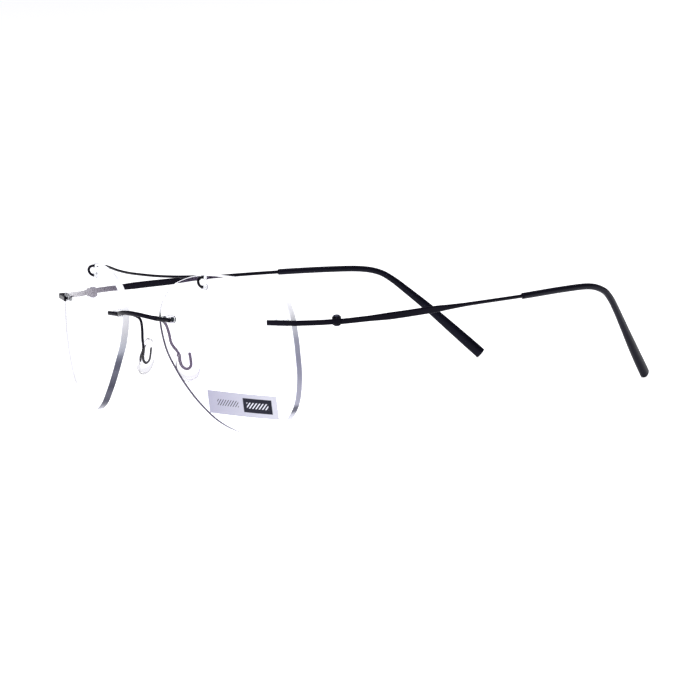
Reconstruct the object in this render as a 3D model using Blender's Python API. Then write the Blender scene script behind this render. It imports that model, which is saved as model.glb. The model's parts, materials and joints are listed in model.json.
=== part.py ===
"""Rimless pilot spectacles with a double bridge, built as the separate pieces they come apart into.

The wearer faces -Y, +X is the wearer's left and +Z is up. The spectacles stand open on a table, on
the lower edges of both lenses and the ends of both temple tips. Sizes are in millimetres, with y
counted from a datum near the bridge, and become metres from the middle of the footprint where a
mesh is made. Each temple turns about an upright axis through its screw.
"""
import bmesh
import bpy
import numpy as np
from math import ceil, cos, pi, radians, sin, sqrt
from mathutils import Matrix, Vector

MM = 0.001
SIDES = (("left", 1), ("right", -1))
# The middle of the footprint on the table, which becomes the world's origin.
DATUM = (0.0, 64.466, 0.131)

# Lens: a spherical meniscus, edged to a pilot outline and drilled for the fittings.
LENS_CENTRE = (39.5, -8.82, 25.37)
LENS_WRAP = radians(13.7)
LENS_TILT = radians(1.1)
FRONT_RADIUS = 137.0
LENS_THICKNESS = 2.2
BLANK_RADIUS = 36.0
# Outline as (toward the temple, up) from the lens centre.
LENS_OUTLINE = (
    (25.3, 0.0), (24.8, 6.0), (23.6, 12.0), (20.6, 16.9), (14.3, 19.6), (6.9, 21.1), (0.0, 21.7),
    (-7.1, 21.9), (-15.2, 21.0), (-24.2, 17.4), (-29.6, 9.9), (-27.7, 0.0), (-22.9, -7.3),
    (-17.9, -13.0), (-12.9, -17.5), (-7.0, -21.6), (0.5, -24.4), (8.2, -25.2), (16.4, -22.6),
    (22.6, -16.3), (25.1, -8.1),
)
OUTLINE_STEPS = 84

# Fittings through the lens: where the middle of each lies, as (toward the temple, up), and how
# far its pins stand to either side of that.
BRIDGE_SPOT = (-26.0, 8.0)
BRIDGE_PINS = (-1.9, 1.9)
END_SPOT = (20.0, 8.95)
END_PINS = (-1.5, 1.5)
HOOK_SPOT = (-9.4, 18.4)
HOOK_PINS = (0.0,)
NOTCH_FLOOR = 2.24
NOTCH_WIDTH = 1.30
NOTCH_SLEEVE_RADIUS = 0.60
PIN_RADIUS = 0.42
PIN_HOLE_RADIUS = 0.80
HOOK_HOLE_RADIUS = 0.66
WIRE_RADIUS = 0.40
FIT_GAP = 0.05
BUSHING_BORE_GAP = 0.06
FLANGE_GAP = 0.10
FLANGE_THICKNESS = 0.4
FLANGE_MARGIN = 0.35
PIN_STAND_OUT = 0.12
LUG_LIFT = 0.95

# Hinge: three knuckles on an upright screw, inside the bar and the blade.
HINGE_AXIS = (66.6, 12.24, 33.92)
KNUCKLE_RADIUS = 1.36
MIDDLE_KNUCKLE = (-0.50, 0.50)
UPPER_KNUCKLE = (0.55, 1.30)
LOWER_KNUCKLE = (-1.30, -0.55)
SCREW_RADIUS = 0.50
SCREW_HOLE_RADIUS = 0.56
SCREW_HEAD_RADIUS = 1.0
SCREW_HEAD_HEIGHT = 0.45
SCREW_TAIL_RADIUS = 0.85
SCREW_TAIL_HEIGHT = 0.38
SCREW_RIM = 0.1
SCREW_CLEARANCE = 0.03
BAR_OFFSET = 1.86
BUTT_GAP = 0.08

# Temple: a flat blade that narrows to a wire, which runs on inside the tip sleeve.
BLADE_THICKNESS = 0.8
TEMPLE_WIRE_RADIUS = 0.55
SLEEVE_START = 81.0
CORE_END = 137.0
TEMPLE_ROUTE = (
    (68.46, 12.32, 33.91), (68.9, 18.24, 33.92), (69.5, 30.24, 33.89), (69.6, 42.24, 33.91),
    (67.9, 62.24, 33.87), (64.8, 81.24, 33.53), (62.1, 98.24, 33.2), (60.2, 110.23, 32.55),
    (58.7, 116.72, 30.79), (57.0, 120.7, 28.06), (54.6, 124.77, 23.93), (50.8, 130.63, 17.49),
    (46.7, 137.37, 9.64), (42.6, 144.5, 1.41),
)
# How far each hand-bent temple sits above or below that route, in the blade and at the tip's bend.
BLADE_RISE = {"left": -0.35, "right": 0.3}
TIP_RISE = {"left": 0.7, "right": -0.8}
# Blade heights as (distance behind the bridge, height, squareness of the section).
BLADE_HEIGHTS = (
    (12.0, 1.62, 0.45), (22.0, 1.70, 0.45), (29.0, 2.15, 0.45), (40.0, 2.10, 0.45),
    (47.0, 1.95, 0.45), (51.5, 1.50, 0.6), (57.5, 1.18, 1.0), (64.0, 1.10, 1.0), (81.0, 1.10, 1.0),
)
# Sleeve sections as (distance behind the bridge, height, thickness).
SLEEVE_SECTIONS = (
    (81.0, 1.88, 1.76), (84.0, 1.92, 1.78), (110.0, 1.95, 1.82), (117.0, 1.98, 1.84),
    (120.0, 2.10, 1.86), (126.0, 2.50, 1.95), (132.0, 2.95, 2.23), (136.0, 3.30, 2.57),
    (141.0, 3.60, 2.80), (143.9, 3.70, 2.85),
)

# Bars and wires, left half, from the middle outward.
BRIDGE_ROUTE = ((0.0, -16.46, 34.87), (4.5, -16.06, 34.61), (8.2, -15.06, 34.06))
BRIDGE_HEIGHT = 1.3
BRIDGE_THICKNESS = 0.95
BROW_ROUTE = ((0.0, -11.3, 45.85), (8.0, -10.9, 45.85), (16.0, -9.6, 46.0), (23.0, -7.9, 46.28))
# The hook at each end of the brow bar, in fitting coordinates: through the notch and back in.
WIRE_IN_NOTCH = 2.9
HOOK_ROUTE = (
    (-2.0, 3.3, 2.96), (-0.75, 3.12, 2.93), (-0.1, 2.55, WIRE_IN_NOTCH), (0.0, 1.9, WIRE_IN_NOTCH),
    (0.0, 0.0, WIRE_IN_NOTCH), (0.0, -1.15, 2.55), (0.0, -1.6, 1.7), (0.0, -1.25, 0.75),
    (0.0, -0.4, 0.1), (0.0, 0.6, 0.0), (0.0, 1.5, 0.0),
)
END_BAR_HEIGHT = 1.58
END_BAR_THICKNESS = 0.8
END_BAR_ROUTE = (
    (65.35, 1.14, 34.28), (65.9, 4.84, 34.02), (66.9, 8.24, 33.88), (68.1, 10.64, 33.91),
)

# Nose pads: soft slip-on pads over the looped end of each pad arm.
PAD_CENTRE = (12.1, -3.85, 19.5)
PAD_FLARE = radians(-14.0)
PAD_SPLAY = radians(-15.0)
PAD_HALF = (1.35, 3.6, 5.75)
PAD_TAPER = 0.16
ARM_RADIUS = 0.42
ARM_GAP = 0.09
ARM_START = (
    (7.6, -14.55, 34.0), (7.75, -12.4, 33.65), (7.8, -9.6, 32.75), (7.75, -7.9, 31.3),
    (8.25, -7.2, 28.4), (8.85, -6.9, 25.3),
)
# The arm's loop inside the pad as (backward, up) in the pad's frame, and how far the loop lies
# from the middle plane of the pad.
ARM_LOOP_OFFSET = -0.3
ARM_LOOP = (
    (-2.15, 3.0), (-2.1, 0.6), (-1.6, -1.0), (-0.35, -1.8), (0.8, -1.05), (1.0, 0.6), (0.9, 3.0),
)

# Demo lens sticker on the left lens, as (toward the temple, up) of its corners.
STICKER_CORNERS = ((-9.3, -12.0), (17.1, -12.9), (16.9, -19.8), (-9.5, -18.9))
STICKER_THICKNESS = 0.08
STICKER_GAP = 0.03


def reset_scene():
    for item in list(bpy.data.objects):
        bpy.data.objects.remove(item, do_unlink=True)


def material(name, colour, roughness, metallic=0.0, alpha=1.0):
    """A Principled material in the piece's own colour and finish."""
    made = bpy.data.materials.new(name)
    made.use_nodes = True
    shader = made.node_tree.nodes["Principled BSDF"]
    shader.inputs["Base Color"].default_value = (*colour, 1.0)
    shader.inputs["Roughness"].default_value = roughness
    shader.inputs["Metallic"].default_value = metallic
    shader.inputs["Alpha"].default_value = alpha
    made.diffuse_color = (*colour, alpha)
    return made


def in_metres(point):
    """A design point, counted from the datum, in the world."""
    return (Vector(point) - Vector(DATUM)) * MM


def finish_object(name, bm, mat, origin=DATUM, round_shape=True):
    """Turn millimetre geometry into an object in metres whose origin lies at origin."""
    bmesh.ops.recalc_face_normals(bm, faces=bm.faces)
    bmesh.ops.translate(bm, verts=bm.verts, vec=-Vector(origin))
    bmesh.ops.scale(bm, verts=bm.verts, vec=(MM, MM, MM))
    mesh = bpy.data.meshes.new(name)
    bm.to_mesh(mesh)
    bm.free()
    made = bpy.data.objects.new(name, mesh)
    bpy.context.collection.objects.link(made)
    made.location = in_metres(origin)
    made.data.materials.append(mat)
    if round_shape:
        mesh.shade_smooth()
        mesh.set_sharp_from_angle(angle=radians(35))
    return made


def boolean(target, operation, tools):
    """Fuse or cut the tools into the target, then remove them."""
    bpy.context.view_layer.update()
    for tool in tools:
        modifier = target.modifiers.new(operation.lower(), "BOOLEAN")
        modifier.operation = operation
        modifier.solver = "EXACT"
        modifier.object = tool
    graph = bpy.context.evaluated_depsgraph_get()
    result = bpy.data.meshes.new_from_object(target.evaluated_get(graph))
    target.modifiers.clear()
    target.data = result
    for tool in tools:
        bpy.data.objects.remove(tool, do_unlink=True)
    return target


def mirrored(points, side):
    return [Vector((side * x, y, z)) for x, y, z in points]


def smooth_route(points, spacing, turn=radians(14)):
    """Points on a smooth curve through the given ones, closer together where it bends."""
    knots = [Vector(p) for p in points]
    ends = [2 * knots[0] - knots[1], *knots, 2 * knots[-1] - knots[-2]]
    route = []
    for before, start, end, after in zip(ends, ends[1:], ends[2:], ends[3:]):
        bend = (end - before).angle(after - start)
        steps = max(1, ceil((end - start).length / spacing), ceil(bend / turn))
        for step in range(steps):
            route.append(catmull_rom(before, start, end, after, step / steps))
    return route + [knots[-1]]


def catmull_rom(before, start, end, after, t):
    slope_in = (end - before) / 2
    slope_out = (after - start) / 2
    return ((2 * t**3 - 3 * t**2 + 1) * start + (t**3 - 2 * t**2 + t) * slope_in
            + (3 * t**2 - 2 * t**3) * end + (t**3 - t**2) * slope_out)


def smooth_outline(points, steps):
    """A closed smooth outline through the points, as evenly spread 2-D points."""
    loop = [Vector((*p, 0.0)) for p in points]
    dense = []
    for i in range(len(loop)):
        corner = [loop[(i + k) % len(loop)] for k in (-1, 0, 1, 2)]
        dense += [catmull_rom(*corner, step / 12) for step in range(12)]
    dense.append(dense[0])
    run = np.cumsum([0.0] + [(b - a).length for a, b in zip(dense, dense[1:])])
    places = np.linspace(0.0, run[-1], steps, endpoint=False)
    return [(float(np.interp(s, run, [p.x for p in dense])),
             float(np.interp(s, run, [p.y for p in dense]))) for s in places]


def add_ring(bm, centre, along, across, height, thickness, squareness=1.0, sides=12):
    """One cross-section: a circle squared up and stretched, square to the route."""
    along = along.normalized()
    sideways = (across - across.dot(along) * along).normalized()
    upward = along.cross(sideways)
    ring = bmesh.ops.create_circle(bm, segments=sides, radius=1.0)["verts"]
    bmesh.ops.rotate(bm, verts=ring, cent=(0, 0, 0), matrix=Matrix.Rotation(pi / sides, 3, "Z"))
    for vert in ring:
        flat = [np.sign(c) * abs(c) ** squareness for c in vert.co[:2]]
        vert.co = centre + sideways * (flat[0] * thickness / 2) + upward * (flat[1] * height / 2)
    return ring


def ring_edges(ring):
    members = set(ring)
    return list({edge for vert in ring for edge in vert.link_edges if edge.other_vert(vert) in members})


def loft(bm, route, section, sides=12):
    """Skin a row of cross-sections along the route; section(i) gives height, thickness, squareness."""
    rings = []
    for i, centre in enumerate(route):
        along = route[min(i + 1, len(route) - 1)] - route[max(i - 1, 0)]
        across = along.cross(Vector((0, 0, 1)))
        rings.append(add_ring(bm, centre, along, across, *section(i), sides=sides))
    edges = [ring_edges(ring) for ring in rings]
    for one, other in zip(edges, edges[1:]):
        bmesh.ops.bridge_loops(bm, edges=one + other)
    for ring in (rings[0], rings[-1]):
        bm.faces.new(ring)


def wire_object(name, points, radius, mat, resolution=2):
    """A round wire: a curve with a bevel and filled caps."""
    curve = bpy.data.curves.new(name, "CURVE")
    curve.dimensions = "3D"
    curve.bevel_depth = radius * MM
    curve.bevel_resolution = resolution
    curve.use_fill_caps = True
    spline = curve.splines.new("POLY")
    spline.points.add(len(points) - 1)
    for spot, place in zip(spline.points, points):
        spot.co = (*in_metres(place), 1.0)
    spline.use_smooth = True
    made = bpy.data.objects.new(name, curve)
    bpy.context.collection.objects.link(made)
    made.data.materials.append(mat)
    return made


def as_mesh(curve_object):
    """The same wire as a mesh object, so that it can be fused or cut."""
    bpy.context.view_layer.update()
    graph = bpy.context.evaluated_depsgraph_get()
    mesh = bpy.data.meshes.new_from_object(curve_object.evaluated_get(graph))
    name = curve_object.name
    bpy.data.objects.remove(curve_object, do_unlink=True)
    bm = bmesh.new()
    bm.from_mesh(mesh)
    bmesh.ops.remove_doubles(bm, verts=bm.verts, dist=1e-7)
    bmesh.ops.recalc_face_normals(bm, faces=bm.faces)
    bm.to_mesh(mesh)
    bm.free()
    made = bpy.data.objects.new(name, mesh)
    bpy.context.collection.objects.link(made)
    return made


def rod(start, end, radius, mat, sides=16, name="tool"):
    """A plain round rod between two points."""
    bm = bmesh.new()
    axis = Vector(end) - Vector(start)
    turn = axis.to_track_quat("Z", "Y").to_matrix().to_4x4()
    place = Matrix.Translation((Vector(start) + Vector(end)) / 2) @ turn
    bmesh.ops.create_cone(bm, cap_ends=True, segments=sides, radius1=radius, radius2=radius,
                          depth=axis.length, matrix=place)
    return finish_object(name, bm, mat)


def block(low, high, mat, frame=Matrix(), name="tool"):
    """A plain block between two corners of a frame."""
    bm = bmesh.new()
    bmesh.ops.create_cube(bm, size=1.0)
    bmesh.ops.scale(bm, verts=bm.verts, vec=[b - a for a, b in zip(low, high)])
    bmesh.ops.translate(bm, verts=bm.verts, vec=[(a + b) / 2 for a, b in zip(low, high)])
    bmesh.ops.transform(bm, verts=bm.verts, matrix=frame)
    return finish_object(name, bm, mat, round_shape=False)


def lens_frame(side):
    """From lens coordinates (toward +X, behind the apex, up) to the world."""
    x, y, z = LENS_CENTRE
    turn = Matrix.Rotation(side * LENS_WRAP, 4, "Z") @ Matrix.Rotation(LENS_TILT, 4, "X")
    return Matrix.Translation((side * x, y, z)) @ turn


def sag(across, up):
    return FRONT_RADIUS - sqrt(FRONT_RADIUS**2 - across**2 - up**2)


def on_lens(side, spot, behind=0.0):
    """World point at a spot on the lens, a distance behind its front surface."""
    across, up = spot
    return lens_frame(side) @ Vector((side * across, sag(across, up) + behind, up))


def lens_blank(name, side, mat):
    """The round meniscus that the lens is edged from, spun about the lens axis."""
    bm = bmesh.new()
    rims = [BLANK_RADIUS * i / 6 for i in range(7)]
    front = [bm.verts.new((r, sag(r, 0.0), 0.0)) for r in rims]
    back = [bm.verts.new((r, sag(r, 0.0) + LENS_THICKNESS, 0.0)) for r in reversed(rims)]
    row = front + back
    profile = [bm.edges.new(pair) for pair in zip(row, row[1:])]
    bmesh.ops.spin(bm, geom=row + profile, cent=(0, 0, 0), axis=(0, 1, 0), angle=2 * pi,
                   steps=40, use_merge=True)
    bmesh.ops.remove_doubles(bm, verts=bm.verts, dist=1e-4)
    bmesh.ops.transform(bm, verts=bm.verts, matrix=lens_frame(side))
    return finish_object(name, bm, mat)


def edging_prism(side, mat):
    bm = bmesh.new()
    outline = smooth_outline(LENS_OUTLINE, OUTLINE_STEPS)
    floor = bm.faces.new([bm.verts.new((side * x, -12.0, z)) for x, z in outline])
    grown = bmesh.ops.extrude_face_region(bm, geom=[floor])["geom"]
    moved = [part for part in grown if isinstance(part, bmesh.types.BMVert)]
    bmesh.ops.translate(bm, verts=moved, vec=(0, 30.0, 0))
    bmesh.ops.transform(bm, verts=bm.verts, matrix=lens_frame(side))
    return finish_object("tool", bm, mat, round_shape=False)


def fitting_frame(side, spot):
    """From fitting coordinates (along the lens toward +X, inward, up) to the world.

    The origin is on the front surface, and the second axis points straight in through the lens.
    """
    across, up = side * spot[0], spot[1]
    inward = Vector((-across, sqrt(FRONT_RADIUS**2 - across**2 - up**2), -up)).normalized()
    along = inward.cross(Vector((0, 0, 1))).normalized()
    axes = Matrix((along, inward, along.cross(inward))).transposed().to_4x4()
    return lens_frame(side) @ Matrix.Translation((across, sag(across, up), up)) @ axes


def pin_rods(side, spot, offsets, radius, start, end, mat, sides=16):
    """Rods through the lens at a fitting, from one depth behind its front surface to another."""
    frame = fitting_frame(side, spot)
    return [rod(frame @ Vector((side * x, start, 0)), frame @ Vector((side * x, end, 0)),
                radius, mat, sides) for x in offsets]


def make_lens(word, side, mat):
    lens = lens_blank(f"{word}_lens", side, mat)
    boolean(lens, "INTERSECT", [edging_prism(side, mat)])
    holes = pin_rods(side, BRIDGE_SPOT, BRIDGE_PINS, PIN_HOLE_RADIUS, -2, 5, mat)
    holes += pin_rods(side, END_SPOT, END_PINS, PIN_HOLE_RADIUS, -2, 5, mat)
    holes += pin_rods(side, HOOK_SPOT, HOOK_PINS, HOOK_HOLE_RADIUS, -2, 5, mat)
    half = NOTCH_WIDTH / 2
    holes.append(block((-half, -3, NOTCH_FLOOR), (half, 6, 8), mat, fitting_frame(side, HOOK_SPOT)))
    boolean(lens, "DIFFERENCE", holes)
    lens.data.shade_smooth()
    lens.data.set_sharp_from_angle(angle=radians(35))
    return lens


def make_bushing(name, side, spot, offsets, hole_radius, pin_radius, mat):
    """A clear plastic bushing: a sleeve in each hole and one flange behind the lens."""
    front = LENS_THICKNESS + FLANGE_GAP
    back = front + FLANGE_THICKNESS
    radius = hole_radius + FLANGE_MARGIN
    flange = capsule_plate(name, fitting_frame(side, spot), max(offsets), radius, front, back, mat)
    boolean(flange, "UNION", pin_rods(side, spot, offsets, hole_radius - FIT_GAP, 0.35, front + 0.3, mat))
    bore = pin_radius + BUSHING_BORE_GAP
    return boolean(flange, "DIFFERENCE", pin_rods(side, spot, offsets, bore, -2, 5, mat))


def make_notch_sleeve(name, side, mat):
    """A clear tube over the brow bar's wire where it lies in the notch."""
    frame = fitting_frame(side, HOOK_SPOT)
    ends = [frame @ Vector((0, depth, WIRE_IN_NOTCH)) for depth in (0.4, 1.75)]
    beyond = [frame @ Vector((0, depth, WIRE_IN_NOTCH)) for depth in (-1, 3)]
    tube = rod(*ends, NOTCH_SLEEVE_RADIUS, mat, name=name)
    return boolean(tube, "DIFFERENCE", [rod(*beyond, WIRE_RADIUS + BUSHING_BORE_GAP, mat)])


def capsule_plate(name, frame, reach, radius, front, back, mat):
    """A plate with round ends, standing across the frame's second axis."""
    bm = bmesh.new()
    arc = [-pi / 2 + pi * i / 8 for i in range(9)]
    outline = [(reach + radius * cos(a), radius * sin(a)) for a in arc]
    outline += [(-x, -z) for x, z in outline]
    floor = bm.faces.new([bm.verts.new((x, front, z)) for x, z in outline])
    grown = bmesh.ops.extrude_face_region(bm, geom=[floor])["geom"]
    moved = [part for part in grown if isinstance(part, bmesh.types.BMVert)]
    bmesh.ops.translate(bm, verts=moved, vec=(0, back - front, 0))
    bmesh.ops.remove_doubles(bm, verts=bm.verts, dist=1e-4)
    bmesh.ops.transform(bm, verts=bm.verts, matrix=frame)
    return finish_object(name, bm, mat, round_shape=False)


def lug_pins(side, spot, offsets, mat):
    """Pins from inside a lug to the back of its bushing."""
    reach = LENS_THICKNESS + FLANGE_GAP + FLANGE_THICKNESS + PIN_STAND_OUT
    return pin_rods(side, spot, offsets, PIN_RADIUS, -LUG_LIFT, reach, mat, 12)


def lug_line(side, spot, places):
    """Points of a lug's centre line along the front of the lens, counted toward the temple."""
    frame = fitting_frame(side, spot)
    return [frame @ Vector((side * x, -LUG_LIFT, 0)) for x in places]


def tapered_ends(count, height, thickness, squareness, first=True, last=True):
    """Full sections, with a smaller one at each rounded end."""
    sizes = [(height, thickness, squareness)] * count
    rounded = (height * 0.55, thickness * 0.55, squareness)
    if first:
        sizes[0] = rounded
    if last:
        sizes[-1] = rounded
    return sizes


def make_bridge(mat):
    """The lower bridge bar, in front of both lenses, with two pins into each."""
    outer = lug_line(1, BRIDGE_SPOT, (-3.4, -1.9, 1.9, 3.2, 3.45))
    half = [Vector(p) for p in BRIDGE_ROUTE] + outer
    knots = [Vector((-p.x, p.y, p.z)) for p in reversed(half[1:])] + half
    route = smooth_route(knots, 2.5)
    sizes = tapered_ends(len(route), BRIDGE_HEIGHT, BRIDGE_THICKNESS, 0.75)
    bm = bmesh.new()
    loft(bm, route, lambda i: sizes[i])
    bridge = finish_object("nose_bridge", bm, mat)
    pins = [pin for _, side in SIDES for pin in lug_pins(side, BRIDGE_SPOT, BRIDGE_PINS, mat)]
    return boolean(bridge, "UNION", pins)


def make_brow_bar(mat):
    """The upper bar: one wire behind the lenses that hooks forward through each top edge."""
    hook = [fitting_frame(1, HOOK_SPOT) @ Vector(p) for p in HOOK_ROUTE]
    half = [Vector(p) for p in BROW_ROUTE] + hook
    knots = [Vector((-p.x, p.y, p.z)) for p in reversed(half[1:])] + half
    return wire_object("brow_bar", smooth_route(knots, 4.0), WIRE_RADIUS, mat)


def pad_frame(side):
    x, y, z = PAD_CENTRE
    turn = Matrix.Rotation(side * PAD_SPLAY, 4, "Z") @ Matrix.Rotation(side * PAD_FLARE, 4, "Y")
    return Matrix.Translation((side * x, y, z)) @ turn


def arm_route(side):
    start = mirrored(ARM_START, side)
    loop = [pad_frame(side) @ Vector((side * ARM_LOOP_OFFSET, y, z)) for y, z in ARM_LOOP]
    return smooth_route(start + loop, 3.0)


def make_pad_arm(word, side, mat):
    return wire_object(f"{word}_pad_arm", arm_route(side), ARM_RADIUS, mat)


def make_nose_pad(word, side, mat):
    """A soft teardrop pad with a looped channel for the arm."""
    bm = bmesh.new()
    bmesh.ops.create_uvsphere(bm, u_segments=20, v_segments=12, radius=1.0)
    for vert in bm.verts:
        width = 1.0 - PAD_TAPER * vert.co.z
        vert.co = Vector((vert.co.x * PAD_HALF[0], vert.co.y * PAD_HALF[1] * width,
                          vert.co.z * PAD_HALF[2]))
    bmesh.ops.transform(bm, verts=bm.verts, matrix=pad_frame(side))
    pad = finish_object(f"{word}_nose_pad", bm, mat)
    route = arm_route(side)
    beyond = route[-1] + (route[-1] - route[-2]).normalized() * 0.15
    channel = as_mesh(wire_object("channel", route[6:] + [beyond], ARM_RADIUS + ARM_GAP, mat))
    return boolean(pad, "DIFFERENCE", [channel])


def knuckle_tools(side, low, high, ahead, mat):
    """A knuckle disc and the tab that ties it to the bar or blade beside it."""
    x, y, z = HINGE_AXIS
    disc = rod((side * x, y, z + low), (side * x, y, z + high), KNUCKLE_RADIUS, mat, 20)
    edges = sorted((side * (x + 0.3), side * (x + BAR_OFFSET)))
    behind = (y - 1.15, y - 0.12) if ahead else (y + 0.16, y + 1.25)
    inset = 0.02
    tab = block((edges[0], behind[0], z + low + inset), (edges[1], behind[1], z + high - inset), mat)
    return [disc, tab]


def screw_hole(side, mat):
    x, y, z = HINGE_AXIS
    return rod((side * x, y, z - 3), (side * x, y, z + 3), SCREW_HOLE_RADIUS, mat, 16)


def make_end_piece(word, side, mat):
    """The bar from the lens back to the hinge, with two pins and the two outer knuckles."""
    lug = lug_line(side, END_SPOT, (-3.5, -3.25, 0.5, 3.6))
    x, y, z = HINGE_AXIS
    corner = Vector((side * 64.9, -0.91, 34.42))
    tail = mirrored(((x + BAR_OFFSET, y - BUTT_GAP, z),), side)
    route = smooth_route(lug + [corner] + mirrored(END_BAR_ROUTE, side) + tail, 2.5)
    sizes = tapered_ends(len(route), END_BAR_HEIGHT, END_BAR_THICKNESS, 0.5, last=False)
    bm = bmesh.new()
    loft(bm, route, lambda i: sizes[i])
    piece = finish_object(f"{word}_end_piece", bm, mat)
    parts = lug_pins(side, END_SPOT, END_PINS, mat)
    parts += knuckle_tools(side, *UPPER_KNUCKLE, True, mat) + knuckle_tools(side, *LOWER_KNUCKLE, True, mat)
    boolean(piece, "UNION", parts)
    return boolean(piece, "DIFFERENCE", [screw_hole(side, mat)])


def make_screw(word, side, mat):
    """The hinge screw: a domed slotted head, a shank, and a tail peened over below the stack."""
    x, y, z = HINGE_AXIS
    seat = UPPER_KNUCKLE[1] + SCREW_CLEARANCE
    foot = LOWER_KNUCKLE[0] - SCREW_CLEARANCE
    turns = (pi / 2, pi / 3, pi / 6, 0)
    dome = [(SCREW_HEAD_RADIUS * cos(a), seat + SCREW_RIM + (SCREW_HEAD_HEIGHT - SCREW_RIM) * sin(a))
            for a in turns]
    tail = [(SCREW_TAIL_RADIUS * cos(a), foot - SCREW_RIM - (SCREW_TAIL_HEIGHT - SCREW_RIM) * sin(a))
            for a in reversed(turns)]
    shank = [(SCREW_HEAD_RADIUS, seat), (SCREW_RADIUS, seat), (SCREW_RADIUS, foot), (SCREW_TAIL_RADIUS, foot)]
    outline = dome + shank + tail
    bm = bmesh.new()
    row = [bm.verts.new((r if r > 1e-6 else 0.0, 0.0, h)) for r, h in outline]
    profile = [bm.edges.new(pair) for pair in zip(row, row[1:])]
    bmesh.ops.spin(bm, geom=row + profile, cent=(0, 0, 0), axis=(0, 0, 1), angle=2 * pi,
                   steps=16, use_merge=True)
    bmesh.ops.remove_doubles(bm, verts=bm.verts, dist=1e-4)
    bmesh.ops.translate(bm, verts=bm.verts, vec=(side * x, y, z))
    screw = finish_object(f"{word}_hinge_screw", bm, mat)
    top = z + seat + SCREW_HEAD_HEIGHT
    slot = block((side * x - 2.0, y - 0.14, top - 0.22), (side * x + 2.0, y + 0.14, top + 1.0), mat)
    return boolean(screw, "DIFFERENCE", [slot])


def temple_route(word, side, spacing):
    """The temple's centre line, with this side's own rise in the blade and at the tip's bend."""
    knots = []
    for x, y, z in TEMPLE_ROUTE:
        rise = BLADE_RISE[word] * max(0.0, 1.0 - abs(y - 25.0) / 25.0)
        rise += TIP_RISE[word] * max(0.0, 1.0 - abs(y - 110.0) / 34.0)
        knots.append(Vector((side * x, y, z + rise)))
    return smooth_route(knots, spacing)


def between(table, y):
    """Sizes at a distance y, read from a table of (distance, sizes...)."""
    stations = [row[0] for row in table]
    return [float(np.interp(y, stations, column)) for column in list(zip(*table))[1:]]


def turning_origin(side):
    return (side * HINGE_AXIS[0], *HINGE_AXIS[1:])


def make_temple(word, side, mat):
    """Blade, wire and middle knuckle, turning about the screw."""
    route = [p for p in temple_route(word, side, 4.0) if p.y <= CORE_END]
    sizes = [between(BLADE_HEIGHTS, p.y) for p in route]
    narrowing = ((47.0, BLADE_THICKNESS), (57.5, 2 * TEMPLE_WIRE_RADIUS))
    thick = [between(narrowing, p.y)[0] for p in route]
    bm = bmesh.new()
    loft(bm, route, lambda i: (sizes[i][0], thick[i], sizes[i][1]), sides=8)
    temple = finish_object(f"{word}_temple", bm, mat, turning_origin(side))
    boolean(temple, "UNION", knuckle_tools(side, *MIDDLE_KNUCKLE, False, mat))
    return boolean(temple, "DIFFERENCE", [screw_hole(side, mat)])


def make_temple_tip(word, side, mat):
    """The sleeve over the end of the temple wire, bored for it."""
    route = [p for p in temple_route(word, side, 4.0) if p.y >= SLEEVE_START - 0.01]
    sizes = [(*between(SLEEVE_SECTIONS, p.y), 0.9) for p in route]
    sizes[0] = (sizes[0][0] * 0.86, sizes[0][1] * 0.86, 0.9)
    close = (route[-1] - route[-2]).normalized()
    route.append(route[-1] + close * 0.3)
    sizes.append((sizes[-1][0] * 0.8, sizes[-1][1] * 0.7, 0.9))
    bm = bmesh.new()
    loft(bm, route, lambda i: sizes[i])
    tip = finish_object(f"{word}_temple_tip", bm, mat, turning_origin(side))
    inside = [p for p in temple_route(word, side, 4.0) if SLEEVE_START - 3.0 < p.y <= CORE_END + 1.0]
    bore = as_mesh(wire_object("bore", inside, TEMPLE_WIRE_RADIUS + 0.14, mat))
    return boolean(tip, "DIFFERENCE", [bore])


def hang_on_hinge(word, side, pieces):
    """Parent the turning pieces to an empty on the hinge axis."""
    axis = bpy.data.objects.new(f"{word}_hinge_axis", None)
    bpy.context.collection.objects.link(axis)
    axis.location = in_metres(turning_origin(side))
    bpy.context.view_layer.update()
    for piece in pieces:
        piece.parent = axis
        piece.matrix_parent_inverse = axis.matrix_world.inverted()


def make_sticker(mat):
    """A thin film on the front of the left lens, curved with it."""
    bm = bmesh.new()
    corners = [Vector((*spot, 0.0)) for spot in STICKER_CORNERS]
    columns, rows = 6, 2
    bmesh.ops.create_grid(bm, x_segments=columns, y_segments=rows, size=0.5)
    grown = bmesh.ops.extrude_face_region(bm, geom=list(bm.faces))["geom"]
    raised = {part for part in grown if isinstance(part, bmesh.types.BMVert)}
    for vert in bm.verts:
        s, t = vert.co.x + 0.5, vert.co.y + 0.5
        spot = (corners[3].lerp(corners[2], s)).lerp(corners[0].lerp(corners[1], s), t)
        lift = STICKER_GAP + (STICKER_THICKNESS if vert in raised else 0.0)
        vert.co = on_lens(1, spot[:2], -lift)
    return finish_object("demo_sticker", bm, mat, round_shape=False)


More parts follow.
